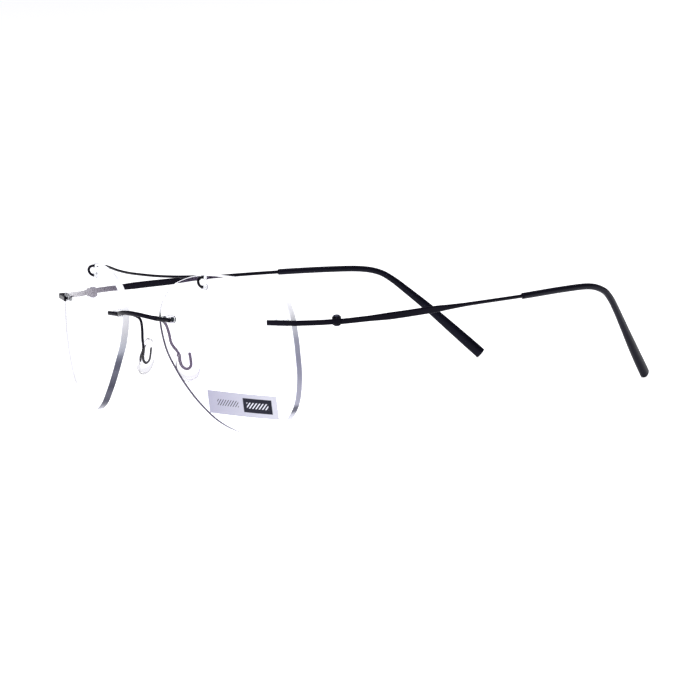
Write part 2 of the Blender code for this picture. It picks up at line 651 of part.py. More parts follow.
def main():
    reset_scene()
    clear = material("lens_clear", (0.86, 0.88, 0.95), 0.03, alpha=0.35)
    black = material("black_metal", (0.012, 0.010, 0.018), 0.3, 0.6)
    steel = material("blued_steel", (0.10, 0.11, 0.14), 0.3, 0.9)
    sleeve = material("tip_black", (0.03, 0.028, 0.045), 0.45)
    silicone = material("pad_silicone", (0.75, 0.74, 0.84), 0.25, alpha=0.6)
    nylon = material("bushing_clear", (0.80, 0.81, 0.86), 0.2, alpha=0.6)
    film = material("sticker_film", (0.70, 0.68, 0.82), 0.4)

    make_bridge(black)
    make_brow_bar(black)
    make_sticker(film)
    for word, side in SIDES:
        make_lens(word, side, clear)
        make_pad_arm(word, side, black)
        make_nose_pad(word, side, silicone)
        make_end_piece(word, side, black)
        make_screw(word, side, steel)
        make_bushing(f"{word}_bridge_bushing", side, BRIDGE_SPOT, BRIDGE_PINS, PIN_HOLE_RADIUS, PIN_RADIUS,
                     nylon)
        make_bushing(f"{word}_end_bushing", side, END_SPOT, END_PINS, PIN_HOLE_RADIUS, PIN_RADIUS, nylon)
        make_bushing(f"{word}_brow_bushing", side, HOOK_SPOT, HOOK_PINS, HOOK_HOLE_RADIUS, WIRE_RADIUS,
                     nylon)
        make_notch_sleeve(f"{word}_brow_sleeve", side, nylon)
        turning = [make_temple(word, side, black), make_temple_tip(word, side, sleeve)]
        hang_on_hinge(word, side, turning)


main()
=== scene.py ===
# %% [markdown]
# # Rimless pilot spectacles
#
# A rimless frame has no frame. Two lenses are drilled, and small metal fittings are pinned
# through the holes: a nose bridge, a brow bar and an end piece on each side. The CAD model already
# says where every piece is and how the temples fold. This lesson remodels each piece finely, in
# the place of its CAD node, and gives it the surface of the real one.

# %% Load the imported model
import json
from math import ceil, cos, pi, radians, sin, sqrt

import bmesh
import bpy
import numpy as np
from mathutils import Matrix, Vector


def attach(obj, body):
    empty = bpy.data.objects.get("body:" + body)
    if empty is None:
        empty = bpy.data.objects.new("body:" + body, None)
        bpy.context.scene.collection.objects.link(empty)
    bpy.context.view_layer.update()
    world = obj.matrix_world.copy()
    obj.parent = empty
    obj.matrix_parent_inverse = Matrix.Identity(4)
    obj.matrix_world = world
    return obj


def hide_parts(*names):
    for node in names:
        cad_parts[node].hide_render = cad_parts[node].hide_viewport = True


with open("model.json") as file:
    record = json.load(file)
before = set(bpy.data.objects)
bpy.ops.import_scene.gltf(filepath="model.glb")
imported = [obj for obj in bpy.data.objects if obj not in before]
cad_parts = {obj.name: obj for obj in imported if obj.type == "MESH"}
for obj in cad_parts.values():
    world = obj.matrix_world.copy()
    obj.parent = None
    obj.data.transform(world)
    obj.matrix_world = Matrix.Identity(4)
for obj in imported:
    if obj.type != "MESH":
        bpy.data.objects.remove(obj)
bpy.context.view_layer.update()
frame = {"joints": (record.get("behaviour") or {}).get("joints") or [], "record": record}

bodies = frame["record"]["behaviour"]["bodies"]
body_of = {node: body for body, nodes in bodies.items() for node in nodes}
print("pieces in the frame:", sorted(body_of))

# %% [markdown]
# ## Drawing units
#
# Spectacles are drawn in millimetres, with the middle of the face at x = 0 and y counted
# backwards from the bridge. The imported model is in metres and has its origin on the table. The
# hinge is the one point that both know exactly, so the difference between the two origins is read
# from the left hinge.

# %% Where the drawing's origin lies in the frame
MM = 0.001
SIDES = (("left", 1), ("right", -1))
HINGE_AXIS = Vector((66.6, 12.24, 33.92))

left_hinge = next(j for j in frame["joints"] if j["name"] == "left_temple_hinge")
DATUM = HINGE_AXIS - Vector(left_hinge["pos_m"]) / MM
print("the frame's origin in the drawing, mm:", [round(v, 2) for v in DATUM])

# %% [markdown]
# ## Curves and skins
#
# Nearly every metal part here is a bar drawn along a curve. A curve object with a round bevel
# would do for plain wire, but not for a blade that turns into a wire on the way. So the first
# helpers are a smooth curve through a few points, and a skin over cross-sections set along it. A
# cross-section starts as a circle. Raising its sine and cosine to a power below one squares it
# up, which gives a flat bar with rolled corners.

# %% A smooth route through a few points
def catmull_rom(before, start, end, after, t):
    slope_in = (end - before) / 2
    slope_out = (after - start) / 2
    return ((2 * t**3 - 3 * t**2 + 1) * start + (t**3 - 2 * t**2 + t) * slope_in
            + (3 * t**2 - 2 * t**3) * end + (t**3 - t**2) * slope_out)


def smooth_route(points, spacing, turn=radians(6)):
    """Points on a smooth curve through the given ones, closer together where it bends."""
    knots = [Vector(p) for p in points]
    ends = [2 * knots[0] - knots[1], *knots, 2 * knots[-1] - knots[-2]]
    route = []
    for before, start, end, after in zip(ends, ends[1:], ends[2:], ends[3:]):
        bend = (end - before).angle(after - start)
        steps = max(1, ceil((end - start).length / spacing), ceil(bend / turn))
        route += [catmull_rom(before, start, end, after, step / steps) for step in range(steps)]
    return route + [knots[-1]]


def mirrored(points, side):
    return [Vector((side * x, y, z)) for x, y, z in points]


# %% A skin over cross-sections
STEEP = 0.95
DOME_TURNS = [radians(t) for t in (10, 28, 46, 64, 82)]


def add_ring(bm, centre, along, across, size, sides):
    """One cross-section, where size is (height, thickness, squareness)."""
    height, thickness, squareness = size
    upward = along.cross(across)
    ring = bmesh.ops.create_circle(bm, segments=sides, radius=1.0)["verts"]
    bmesh.ops.rotate(bm, verts=ring, cent=(0, 0, 0), matrix=Matrix.Rotation(pi / sides, 3, "Z"))
    for vert in ring:
        flat = [np.sign(c) * abs(c) ** squareness for c in vert.co[:2]]
        vert.co = centre + across * (flat[0] * thickness / 2) + upward * (flat[1] * height / 2)
    return ring


def ring_edges(ring):
    members = set(ring)
    return list({edge for vert in ring for edge in vert.link_edges
                 if edge.other_vert(vert) in members})


def skin(bm, stations, sides=24, upright=True):
    """Skin over stations of (point, size). An upright section never rolls; a wire's may."""
    places = [place for place, _ in stations]
    across = None
    loops = []
    for i, (place, size) in enumerate(stations):
        ahead, behind = places[min(i + 1, len(places) - 1)], places[max(i - 1, 0)]
        along = (ahead - behind).normalized()
        if upright or across is None:
            guide = Vector((0, 0, 1)) if abs(along.z) < STEEP else Vector((0, 1, 0))
            across = along.cross(guide)
        across = (across - across.dot(along) * along).normalized()
        ring = add_ring(bm, place, along, across, size, sides)
        loops.append(ring_edges(ring))
        if i in (0, len(stations) - 1):
            bm.faces.new(ring)
    for one, other in zip(loops, loops[1:]):
        bmesh.ops.bridge_loops(bm, edges=one + other)


def with_domes(route, sizes, depth, start=True, end=True):
    """Stations along a route, closed in a dome of that depth at either end."""
    def dome(tip, inside, size):
        inward = (inside - tip).normalized()
        height, thickness, squareness = size
        return [(tip + inward * depth * (1 - cos(t)),
                 (height * sin(t), thickness * sin(t), squareness)) for t in DOME_TURNS]
    stations = list(zip(route, sizes))
    first = dome(route[0], route[1], sizes[0]) if start else stations[:1]
    last = dome(route[-1], route[-2], sizes[-1])[::-1] if end else stations[-1:]
    return first + stations[1:-1] + last


# %% [markdown]
# ## Solids, cuts and finished pieces
#
# Holes are drilled in the shape with a Boolean, as they are drilled in the lens. It is done in
# millimetres, because small numbers near one keep the cut exact. A finished piece is then scaled
# to metres in its mesh, so that its object stays at the origin like the CAD nodes, and it takes
# the place of its node on the same moving body.

# %% Solids and Boolean cuts
def solid(bm, name="tool"):
    """An object from a closed mesh, still in the drawing's millimetres."""
    bmesh.ops.recalc_face_normals(bm, faces=bm.faces)
    mesh = bpy.data.meshes.new(name)
    bm.to_mesh(mesh)
    bm.free()
    made = bpy.data.objects.new(name, mesh)
    bpy.context.scene.collection.objects.link(made)
    return made


def boolean(target, operation, tools):
    """Fuse or cut the tools into the target, then remove them."""
    bpy.context.view_layer.update()
    for tool in tools:
        modifier = target.modifiers.new(operation.lower(), "BOOLEAN")
        modifier.operation = operation
        modifier.solver = "EXACT"
        modifier.object = tool
    graph = bpy.context.evaluated_depsgraph_get()
    result = bpy.data.meshes.new_from_object(target.evaluated_get(graph))
    target.modifiers.clear()
    target.data = result
    for tool in tools:
        bpy.data.objects.remove(tool, do_unlink=True)


def rod(start, end, radius, sides=40, dome=0.0):
    """A round rod between two points, with a domed far end where dome gives its depth."""
    bm = bmesh.new()
    stations = with_domes([Vector(start), Vector(end)], [(2 * radius, 2 * radius, 1.0)] * 2,
                          dome, start=False, end=dome > 0)
    skin(bm, stations, sides, upright=False)
    return solid(bm)


def block(low, high, frame_matrix=Matrix(), rounding=0.0):
    """A block between two corners of a frame, with its edges rounded."""
    bm = bmesh.new()
    bmesh.ops.create_cube(bm, size=1.0)
    bmesh.ops.scale(bm, verts=bm.verts, vec=[b - a for a, b in zip(low, high)])
    bmesh.ops.translate(bm, verts=bm.verts, vec=[(a + b) / 2 for a, b in zip(low, high)])
    if rounding:
        bmesh.ops.bevel(bm, geom=list(bm.edges), offset=rounding, offset_type="OFFSET", segments=3,
                        profile=0.5, affect="EDGES", material=-1)
    bmesh.ops.transform(bm, verts=bm.verts, matrix=frame_matrix)
    return solid(bm)


# %% A finished piece takes its CAD node's place
def finish(piece, name, node, finishes, sharp=radians(32)):
    """Move a piece into the frame, give it its finishes and let it stand for a CAD node."""
    piece.name = name
    mesh = piece.data
    mesh.name = name
    mesh.transform(Matrix.Scale(MM, 4) @ Matrix.Translation(-DATUM))
    mesh.materials.clear()
    for finish_material in finishes:
        mesh.materials.append(finish_material)
    mesh.shade_smooth()
    mesh.set_sharp_from_angle(angle=sharp)
    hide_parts(node)
    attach(piece, body_of[node])
    print(f"{name}: {len(mesh.polygons)} faces, in the place of {node}")


# %% [markdown]
# ## The camera
#
# A long lens from more than a metre away keeps the two sides nearly parallel, so the spectacles
# look as they measure. The view is given by where the camera stands around them, how high it is,
# and a small roll, because a hand-held camera is seldom level.

# %% Set the camera
VIEW_AZIMUTH = radians(55.12)
VIEW_HEIGHT = radians(7.05)
VIEW_ROLL = radians(-2.92)
VIEW_DISTANCE = 1.352
FOCAL_LENGTH = 230.8
AIM = Vector((0.02746, -0.02078, 0.01879))
FARTHEST_SEEN = 50.0

away = Vector((sin(VIEW_AZIMUTH) * cos(VIEW_HEIGHT), -cos(VIEW_AZIMUTH) * cos(VIEW_HEIGHT),
               sin(VIEW_HEIGHT)))
level = away.to_track_quat("Z", "Y")
camera = bpy.data.objects.new("camera", bpy.data.cameras.new("camera"))
camera.data.lens = FOCAL_LENGTH
camera.data.clip_end = FARTHEST_SEEN
camera.location = AIM + away * VIEW_DISTANCE
camera.rotation_mode = "QUATERNION"
camera.rotation_quaternion = level @ Matrix.Rotation(VIEW_ROLL, 3, "Z").to_quaternion()
bpy.context.scene.collection.objects.link(camera)
bpy.context.scene.camera = camera
print("camera at", [round(v, 3) for v in camera.location])

# %% [markdown]
# ## Building a material from nodes
#
# Each finish is a Principled shader with its own node tree. Two effects come back in several of
# them, so they are node groups: a fine grain that breaks up the gloss, and a slow drift of the
# colour. A group only puts out values and colours, and the shader stays in the material.

# %% Helpers for node trees
def new_material(name):
    """A material, its node tree and its Principled shader."""
    made = bpy.data.materials.new(name)
    made.use_nodes = True
    return made, made.node_tree, made.node_tree.nodes["Principled BSDF"]


def add_node(tree, kind, settings=None, **inputs):
    """A node with its settings and its unlinked inputs, named in plain words."""
    made = tree.nodes.new(kind)
    for key, value in (settings or {}).items():
        setattr(made, key, value)
    for key, value in inputs.items():
        made.inputs[key.replace("_", " ")].default_value = value
    return made


def new_group(name, inputs, outputs):
    """A shader node group with named sockets, and its input and output nodes."""
    tree = bpy.data.node_groups.new(name, "ShaderNodeTree")
    for label, kind, value in inputs:
        socket = tree.interface.new_socket(label, in_out="INPUT", socket_type=kind)
        if value is not None:
            socket.default_value = value
    for label, kind in outputs:
        tree.interface.new_socket(label, in_out="OUTPUT", socket_type=kind)
    return tree, tree.nodes.new("NodeGroupInput"), tree.nodes.new("NodeGroupOutput")


def place_group(tree, group, **inputs):
    made = tree.nodes.new("ShaderNodeGroup")
    made.node_tree = group
    for key, value in inputs.items():
        made.inputs[key.replace("_", " ")].default_value = value
    return made


# %% [markdown]
# The grain is two octaves of noise. The fine one gives a height for a Bump node, and a coarser
# one spreads the roughness, because wiped and unwiped patches shine differently. A stretched
# Mapping in front of it turns the same grain into the draw lines of a wire.

# %% The grain group
grain, asked, given = new_group(
    "surface_grain",
    [("Vector", "NodeSocketVector", None), ("Scale", "NodeSocketFloat", 900.0),
     ("Roughness", "NodeSocketFloat", 0.3), ("Spread", "NodeSocketFloat", 0.1)],
    [("Roughness", "NodeSocketFloat"), ("Height", "NodeSocketFloat")])
fine = add_node(grain, "ShaderNodeTexNoise", Detail=4.0, Roughness=0.6)
grain.links.new(asked.outputs["Vector"], fine.inputs["Vector"])
grain.links.new(asked.outputs["Scale"], fine.inputs["Scale"])
grain.links.new(fine.outputs["Fac"], given.inputs["Height"])
wiped = add_node(grain, "ShaderNodeTexNoise", Detail=3.0, Scale=140.0)
grain.links.new(asked.outputs["Vector"], wiped.inputs["Vector"])
centred = add_node(grain, "ShaderNodeMath", {"operation": "SUBTRACT"})
centred.inputs[1].default_value = 0.5
grain.links.new(wiped.outputs["Fac"], centred.inputs[0])
spread = add_node(grain, "ShaderNodeMath", {"operation": "MULTIPLY_ADD"})
grain.links.new(centred.outputs[0], spread.inputs[0])
grain.links.new(asked.outputs["Spread"], spread.inputs[1])
grain.links.new(asked.outputs["Roughness"], spread.inputs[2])
grain.links.new(spread.outputs[0], given.inputs["Roughness"])
print("group:", grain.name, [item.name for item in grain.interface.items_tree])

# %% The drift group
drift, asked, given = new_group(
    "colour_drift",
    [("Vector", "NodeSocketVector", None), ("Scale", "NodeSocketFloat", 60.0),
     ("Colour", "NodeSocketColor", (0.5, 0.5, 0.5, 1)),
     ("Other", "NodeSocketColor", (0.5, 0.5, 0.5, 1))],
    [("Colour", "NodeSocketColor")])
cloud = add_node(drift, "ShaderNodeTexNoise", Detail=2.0)
drift.links.new(asked.outputs["Vector"], cloud.inputs["Vector"])
drift.links.new(asked.outputs["Scale"], cloud.inputs["Scale"])
steeper = add_node(drift, "ShaderNodeMapRange", From_Min=0.35, From_Max=0.65)
drift.links.new(cloud.outputs["Fac"], steeper.inputs["Value"])
blended = add_node(drift, "ShaderNodeMix", {"data_type": "RGBA"})
drift.links.new(steeper.outputs["Result"], blended.inputs["Factor"])
drift.links.new(asked.outputs["Colour"], blended.inputs["A"])
drift.links.new(asked.outputs["Other"], blended.inputs["B"])
drift.links.new(blended.outputs["Result"], given.inputs["Colour"])
print("group:", drift.name, [item.name for item in drift.interface.items_tree])


# %% A grained finish in one call
RELIEF = 0.00002


def grained_finish(name, colour, other, roughness, spread=0.08, grain_scale=900.0,
                   stretch=(1, 1, 1), bump=0.05, depth=RELIEF, drift_scale=60.0, **shader_values):
    """A Principled material with both groups in it; the rest are the shader's own values."""
    made, tree, shader = new_material(name)
    place = tree.nodes.new("ShaderNodeTexCoord")
    mapping = add_node(tree, "ShaderNodeMapping", Scale=stretch)
    tree.links.new(place.outputs["Object"], mapping.inputs["Vector"])
    tone = place_group(tree, drift, Scale=drift_scale, Colour=(*colour, 1), Other=(*other, 1))
    tree.links.new(place.outputs["Object"], tone.inputs["Vector"])
    tree.links.new(tone.outputs["Colour"], shader.inputs["Base Color"])
    texture = place_group(tree, grain, Scale=grain_scale, Roughness=roughness, Spread=spread)
    tree.links.new(mapping.outputs["Vector"], texture.inputs["Vector"])
    tree.links.new(texture.outputs["Roughness"], shader.inputs["Roughness"])
    relief = add_node(tree, "ShaderNodeBump", Strength=bump, Distance=depth)
    tree.links.new(texture.outputs["Height"], relief.inputs["Height"])
    tree.links.new(relief.outputs["Normal"], shader.inputs["Normal"])
    for key, value in shader_values.items():
        shader.inputs[key.replace("_", " ")].default_value = value
    return made


# %% [markdown]
# ## The opaque finishes
#
# The metal is plated black over a drawn and rolled alloy. Its colour leans to violet where the
# plating is thin, and fine draw lines run along the bar, so the grain is stretched front to back.
# The tip sleeves are black acetate, a little softer in the gloss. The hinge screw is blued steel.

# %% Black plating, black acetate and blued steel
black_plating = grained_finish(
    "black_plating", (0.0012, 0.0010, 0.0030), (0.0035, 0.0025, 0.0070), 0.30, grain_scale=2400.0,
    stretch=(1, 0.12, 1), bump=0.10, Specular_IOR_Level=0.09, Specular_Tint=(0.8, 0.78, 1.0, 1))
black_acetate = grained_finish(
    "black_acetate", (0.0012, 0.0011, 0.0035), (0.0030, 0.0025, 0.0070), 0.36, spread=0.12,
    grain_scale=1500.0, bump=0.06, drift_scale=90.0, Specular_IOR_Level=0.13,
    Specular_Tint=(0.75, 0.75, 1.0, 1))
blued_steel = grained_finish(
    "blued_steel", (0.050, 0.055, 0.085), (0.10, 0.10, 0.13), 0.28, grain_scale=3000.0, bump=0.15,
    drift_scale=400.0, Metallic=0.9)
print("opaque finishes:", black_plating.name, black_acetate.name, blued_steel.name)

# %% [markdown]
# ## The clear finishes
#
# Lens, silicone and nylon are all clear, and differ in how they bend and blur light. The lens is
# hard and polished and carries an antireflection coating, so its reflection is weak and violet.
# Layers of thin film could be simulated, but a low specular level with a violet tint gives the
# same weak reflection at every angle. The silicone pads and the duller nylon bushings darken
# where they are seen on edge, so a Layer Weight mixes a dark rim into their colour.

# %% Clear lens, silicone and nylon
lens_clear = grained_finish(
    "lens_clear", (0.985, 0.985, 1.0), (0.975, 0.98, 1.0), 0.012, spread=0.01, grain_scale=300.0,
    bump=0.01, depth=RELIEF / 2, Transmission_Weight=1.0, IOR=1.5, Specular_IOR_Level=0.03,
    Specular_Tint=(0.75, 0.45, 1.0, 1))
pad_silicone = grained_finish(
    "pad_silicone", (0.97, 0.96, 0.99), (0.94, 0.93, 0.98), 0.05, spread=0.04, grain_scale=300.0,
    bump=0.01, Transmission_Weight=1.0, IOR=1.41, Specular_IOR_Level=0.15)
nylon_clear = grained_finish(
    "nylon_clear", (0.95, 0.95, 0.98), (0.91, 0.92, 0.97), 0.10, spread=0.06, grain_scale=1200.0,
    bump=0.05, Transmission_Weight=0.95, IOR=1.5, Specular_IOR_Level=0.3)
FULL_RIM = 0.95


def tint_rims(material, rim, start):
    """Darken a clear material toward its outline, where light crosses the most of it."""
    tree = material.node_tree
    shader = tree.nodes["Principled BSDF"]
    under = shader.inputs["Base Color"].links[0].from_socket
    turned = add_node(tree, "ShaderNodeLayerWeight", Blend=0.5)
    share = add_node(tree, "ShaderNodeMapRange", From_Min=start, From_Max=FULL_RIM)
    tree.links.new(turned.outputs["Facing"], share.inputs["Value"])
    mix = add_node(tree, "ShaderNodeMix", {"data_type": "RGBA"})
    mix.inputs["B"].default_value = (*rim, 1)
    tree.links.new(share.outputs["Result"], mix.inputs["Factor"])
    tree.links.new(under, mix.inputs["A"])
    tree.links.new(mix.outputs["Result"], shader.inputs["Base Color"])


tint_rims(pad_silicone, (0.08, 0.075, 0.12), 0.45)
tint_rims(nylon_clear, (0.35, 0.35, 0.42), 0.55)
print("clear finishes:", lens_clear.name, pad_silicone.name, nylon_clear.name)

# %% [markdown]
# ## The ground edge of a lens, with painted glow and shade
#
# The wheel that edges a lens leaves its wall matt. Light that enters the lens is carried along
# inside it and comes out at the wall, so much of the wall glows pale, and the part that sends the
# light away looks dark. Here that glow and that shade are painted into the wall's colour, and the
# same colour feeds an emission, so the pale parts glow as painted light. Fine wheel marks run round
# it. How high the painted dark part reaches differs at the nose and at the temple, and from lens to
# lens. So each lens has two ramps of painted light and shade by height above the table, mixed by
# the distance from the middle of the face.

# %% Ground edge
# Painted light and shade for the edge: the pale stops are painted glow, the dark stops painted
# shade.
PALE_PAINTED_GLOW = (0.94, 0.94, 0.98)
LEFT_NASAL_PAINTED_LIGHT = (
    (0.5, PALE_PAINTED_GLOW), (2.0, (0.14, 0.145, 0.21)), (6.0, (0.05, 0.055, 0.09)),
    (12.0, (0.03, 0.035, 0.06)), (20.0, (0.010, 0.015, 0.030)), (34.0, (0.012, 0.018, 0.030)),
    (35.5, PALE_PAINTED_GLOW),
)
RIGHT_NASAL_PAINTED_LIGHT = (
    (0.3, PALE_PAINTED_GLOW), (1.8, (0.13, 0.13, 0.17)), (3.6, (0.036, 0.036, 0.058)),
    (7.2, (0.080, 0.080, 0.11)), (10.0, (0.040, 0.040, 0.063)), (14.4, (0.092, 0.093, 0.125)),
    (16.3, (0.068, 0.069, 0.100)), (18.0, (0.076, 0.079, 0.112)), (19.9, (0.145, 0.15, 0.19)),
    (21.7, (0.29, 0.30, 0.35)), (24.0, (0.35, 0.36, 0.40)), (28.0, (0.46, 0.46, 0.49)),
    (31.0, (0.56, 0.56, 0.59)), (36.0, PALE_PAINTED_GLOW),
)
TEMPORAL_PAINTED_LIGHT = (
    (1.0, PALE_PAINTED_GLOW), (5.0, (0.64, 0.64, 0.68)), (7.2, (0.42, 0.42, 0.48)), (8.1, (0.09, 0.09, 0.12)),
    (9.3, (0.09, 0.09, 0.12)), (10.2, (0.30, 0.30, 0.37)), (15.5, (0.295, 0.295, 0.37)),
    (19.0, (0.235, 0.235, 0.31)), (24.0, (0.21, 0.212, 0.28)), (29.0, (0.25, 0.255, 0.32)),
    (32.6, (0.41, 0.415, 0.46)), (36.0, (0.62, 0.62, 0.65)), (38.5, (0.70, 0.70, 0.73)),
    (42.0, PALE_PAINTED_GLOW),
)
RAMP_TOP = 48.0
NASAL_UP_TO = 30.0
TEMPORAL_FROM = 50.0
# Strength of the painted glow: the edge emits its own colour, though it is no lamp.
PAINTED_GLOW = 0.3


def painted_light_ramp(tree, height, stops):
    """A colour ramp of painted light and shade by height above the table; stops are (height in mm,
    colour).
    """
    tone = tree.nodes.new("ShaderNodeValToRGB")
    ramp = tone.color_ramp
    while len(ramp.elements) < len(stops):
        ramp.elements.new(0.5)
    for element, (level, colour) in zip(ramp.elements, stops):
        element.position = level / RAMP_TOP
        element.color = (*colour, 1)
    tree.links.new(height, tone.inputs["Fac"])
    return tone.outputs["Color"]


def ground_edge_painted_light(name, nasal_painted_light, temporal_painted_light):
    """Matt edge with painted glow and shade: one ramp beside the nose and another at the temple."""
    made, tree, shader = new_material(name)
    place = tree.nodes.new("ShaderNodeTexCoord")
    apart = tree.nodes.new("ShaderNodeSeparateXYZ")
    tree.links.new(place.outputs["Object"], apart.inputs["Vector"])
    height = add_node(tree, "ShaderNodeMapRange", From_Min=0.0, From_Max=RAMP_TOP * MM)
    tree.links.new(apart.outputs["Z"], height.inputs["Value"])
    distance = add_node(tree, "ShaderNodeMath", {"operation": "ABSOLUTE"})
    tree.links.new(apart.outputs["X"], distance.inputs[0])
    outward = add_node(tree, "ShaderNodeMapRange", From_Min=NASAL_UP_TO * MM,
                       From_Max=TEMPORAL_FROM * MM)
    tree.links.new(distance.outputs[0], outward.inputs["Value"])
    wall = add_node(tree, "ShaderNodeMix", {"data_type": "RGBA"})
    tree.links.new(outward.outputs["Result"], wall.inputs["Factor"])
    tree.links.new(painted_light_ramp(tree, height.outputs["Result"], nasal_painted_light), wall.inputs["A"])
    tree.links.new(painted_light_ramp(tree, height.outputs["Result"], temporal_painted_light), wall.inputs["B"])
    tree.links.new(wall.outputs["Result"], shader.inputs["Base Color"])
    # The painted light and shade also feed the emission, so the pale parts glow as painted light.
    tree.links.new(wall.outputs["Result"], shader.inputs["Emission Color"])
    shader.inputs["Emission Strength"].default_value = PAINTED_GLOW
    shader.inputs["Specular IOR Level"].default_value = 0.1
    marks = place_group(tree, grain, Scale=1100.0, Roughness=0.5, Spread=0.2)
    tree.links.new(place.outputs["Object"], marks.inputs["Vector"])
    tree.links.new(marks.outputs["Roughness"], shader.inputs["Roughness"])
    relief = add_node(tree, "ShaderNodeBump", Strength=0.12, Distance=RELIEF)
    tree.links.new(marks.outputs["Height"], relief.inputs["Height"])
    tree.links.new(relief.outputs["Normal"], shader.inputs["Normal"])
    return made


edge_painted_light = {"left": ground_edge_painted_light("ground_edge_painted_light_left", LEFT_NASAL_PAINTED_LIGHT, TEMPORAL_PAINTED_LIGHT),
               "right": ground_edge_painted_light("ground_edge_painted_light_right", RIGHT_NASAL_PAINTED_LIGHT, TEMPORAL_PAINTED_LIGHT)}
print("edges:", [made.name for made in edge_painted_light.values()])

# %% [markdown]
# ## The printed film
#
# A demonstration lens carries a thin printed film that peels off. This one keeps a plain design
# of its own: a lavender ground that fades to one side, a dark panel with a strip of pale slanted
# hatching in it, and a strip of finer dark hatching beside it. The pattern is laid out on the
# piece's own UV map, in shares of its width and height, so it follows the curve of the lens.

# %% Masks and paint
def band(tree, value, low, high, soft=0.004):
    """1 where the value lies between two limits, with a soft edge."""
    rise = add_node(tree, "ShaderNodeMapRange", From_Min=low - soft, From_Max=low + soft)
    fall = add_node(tree, "ShaderNodeMapRange", From_Min=high - soft, From_Max=high + soft,
                    To_Min=1.0, To_Max=0.0)
    both = add_node(tree, "ShaderNodeMath", {"operation": "MULTIPLY"})
    for one in (rise, fall):
        tree.links.new(value, one.inputs["Value"])
    tree.links.new(rise.outputs["Result"], both.inputs[0])
    tree.links.new(fall.outputs["Result"], both.inputs[1])
    return both.outputs[0]


def crossing(tree, one, other):
    both = add_node(tree, "ShaderNodeMath", {"operation": "MULTIPLY"})
    tree.links.new(one, both.inputs[0])
    tree.links.new(other, both.inputs[1])
    return both.outputs[0]


def painted_over(tree, under, mask, colour):
    mix = add_node(tree, "ShaderNodeMix", {"data_type": "RGBA"})
    mix.inputs["B"].default_value = (*colour, 1)
    tree.links.new(mask, mix.inputs["Factor"])
    tree.links.new(under, mix.inputs["A"])
    return mix.outputs["Result"]


# %% The film's ground and its patches
INK = (0.004, 0.004, 0.016)
PAPER = (0.80, 0.80, 0.90)
PANEL = ((0.53, 0.93), (0.20, 0.82))
PALE_STRIP = ((0.58, 0.88), (0.38, 0.64))
DARK_STRIP = ((0.14, 0.46), (0.38, 0.66))

printed_film, tree, shader = new_material("printed_film")
layout = tree.nodes.new("ShaderNodeUVMap")
layout.uv_map = "film"
apart = tree.nodes.new("ShaderNodeSeparateXYZ")
tree.links.new(layout.outputs["UV"], apart.inputs["Vector"])
across, up = apart.outputs["X"], apart.outputs["Y"]
ground = tree.nodes.new("ShaderNodeValToRGB")
ground.color_ramp.elements[0].color = (0.43, 0.42, 0.54, 1)
ground.color_ramp.elements[1].position = 0.95
ground.color_ramp.elements[1].color = (0.62, 0.62, 0.70, 1)
tree.links.new(across, ground.inputs["Fac"])


def patch(tree, across_limits, up_limits):
    return crossing(tree, band(tree, across, *across_limits), band(tree, up, *up_limits))


def strokes(tree, count, slant, low, high, soft=0.06):
    """A row of strokes: count of them across the film, leaning by slant of their spacing."""
    lean = add_node(tree, "ShaderNodeMath", {"operation": "MULTIPLY"})
    lean.inputs[1].default_value = slant
    tree.links.new(up, lean.inputs[0])
    run = add_node(tree, "ShaderNodeMath", {"operation": "MULTIPLY_ADD"})
    run.inputs[1].default_value = count
    tree.links.new(across, run.inputs[0])
    tree.links.new(lean.outputs[0], run.inputs[2])
    share = add_node(tree, "ShaderNodeMath", {"operation": "FRACT"})
    tree.links.new(run.outputs[0], share.inputs[0])
    return band(tree, share.outputs[0], low, high, soft)


# %% Paint the film
panel = patch(tree, *PANEL)
hatching = crossing(tree, patch(tree, *PALE_STRIP), strokes(tree, 22.0, -5.5, 0.2, 0.6))
fine_hatching = crossing(tree, patch(tree, *DARK_STRIP), strokes(tree, 26.0, -6.0, 0.2, 0.5))
paint = painted_over(tree, ground.outputs["Color"], panel, INK)
paint = painted_over(tree, paint, hatching, PAPER)
paint = painted_over(tree, paint, fine_hatching, INK)
tree.links.new(paint, shader.inputs["Base Color"])
shader.inputs["Specular IOR Level"].default_value = 0.2
place = tree.nodes.new("ShaderNodeTexCoord")
sheen = place_group(tree, grain, Scale=500.0, Roughness=0.38, Spread=0.15)
tree.links.new(place.outputs["Object"], sheen.inputs["Vector"])
tree.links.new(sheen.outputs["Roughness"], shader.inputs["Roughness"])
relief = add_node(tree, "ShaderNodeBump", Strength=0.1, Distance=RELIEF)
tree.links.new(sheen.outputs["Height"], relief.inputs["Height"])
tree.links.new(relief.outputs["Normal"], shader.inputs["Normal"])
print("film material has", len(tree.nodes), "nodes")

# %% [markdown]
# ## The shape of a lens
#
# A lens is a slice of a thick shell, curved the same in front and behind, and edged to a pilot
# outline. It could be cut from a round blank with a Boolean, as the CAD does. Here the outline
# itself is shrunk ring by ring toward the middle and each ring is dropped onto the sphere. The
# rings follow the edge, so the polished faces stay smooth right up to the pin bevel.

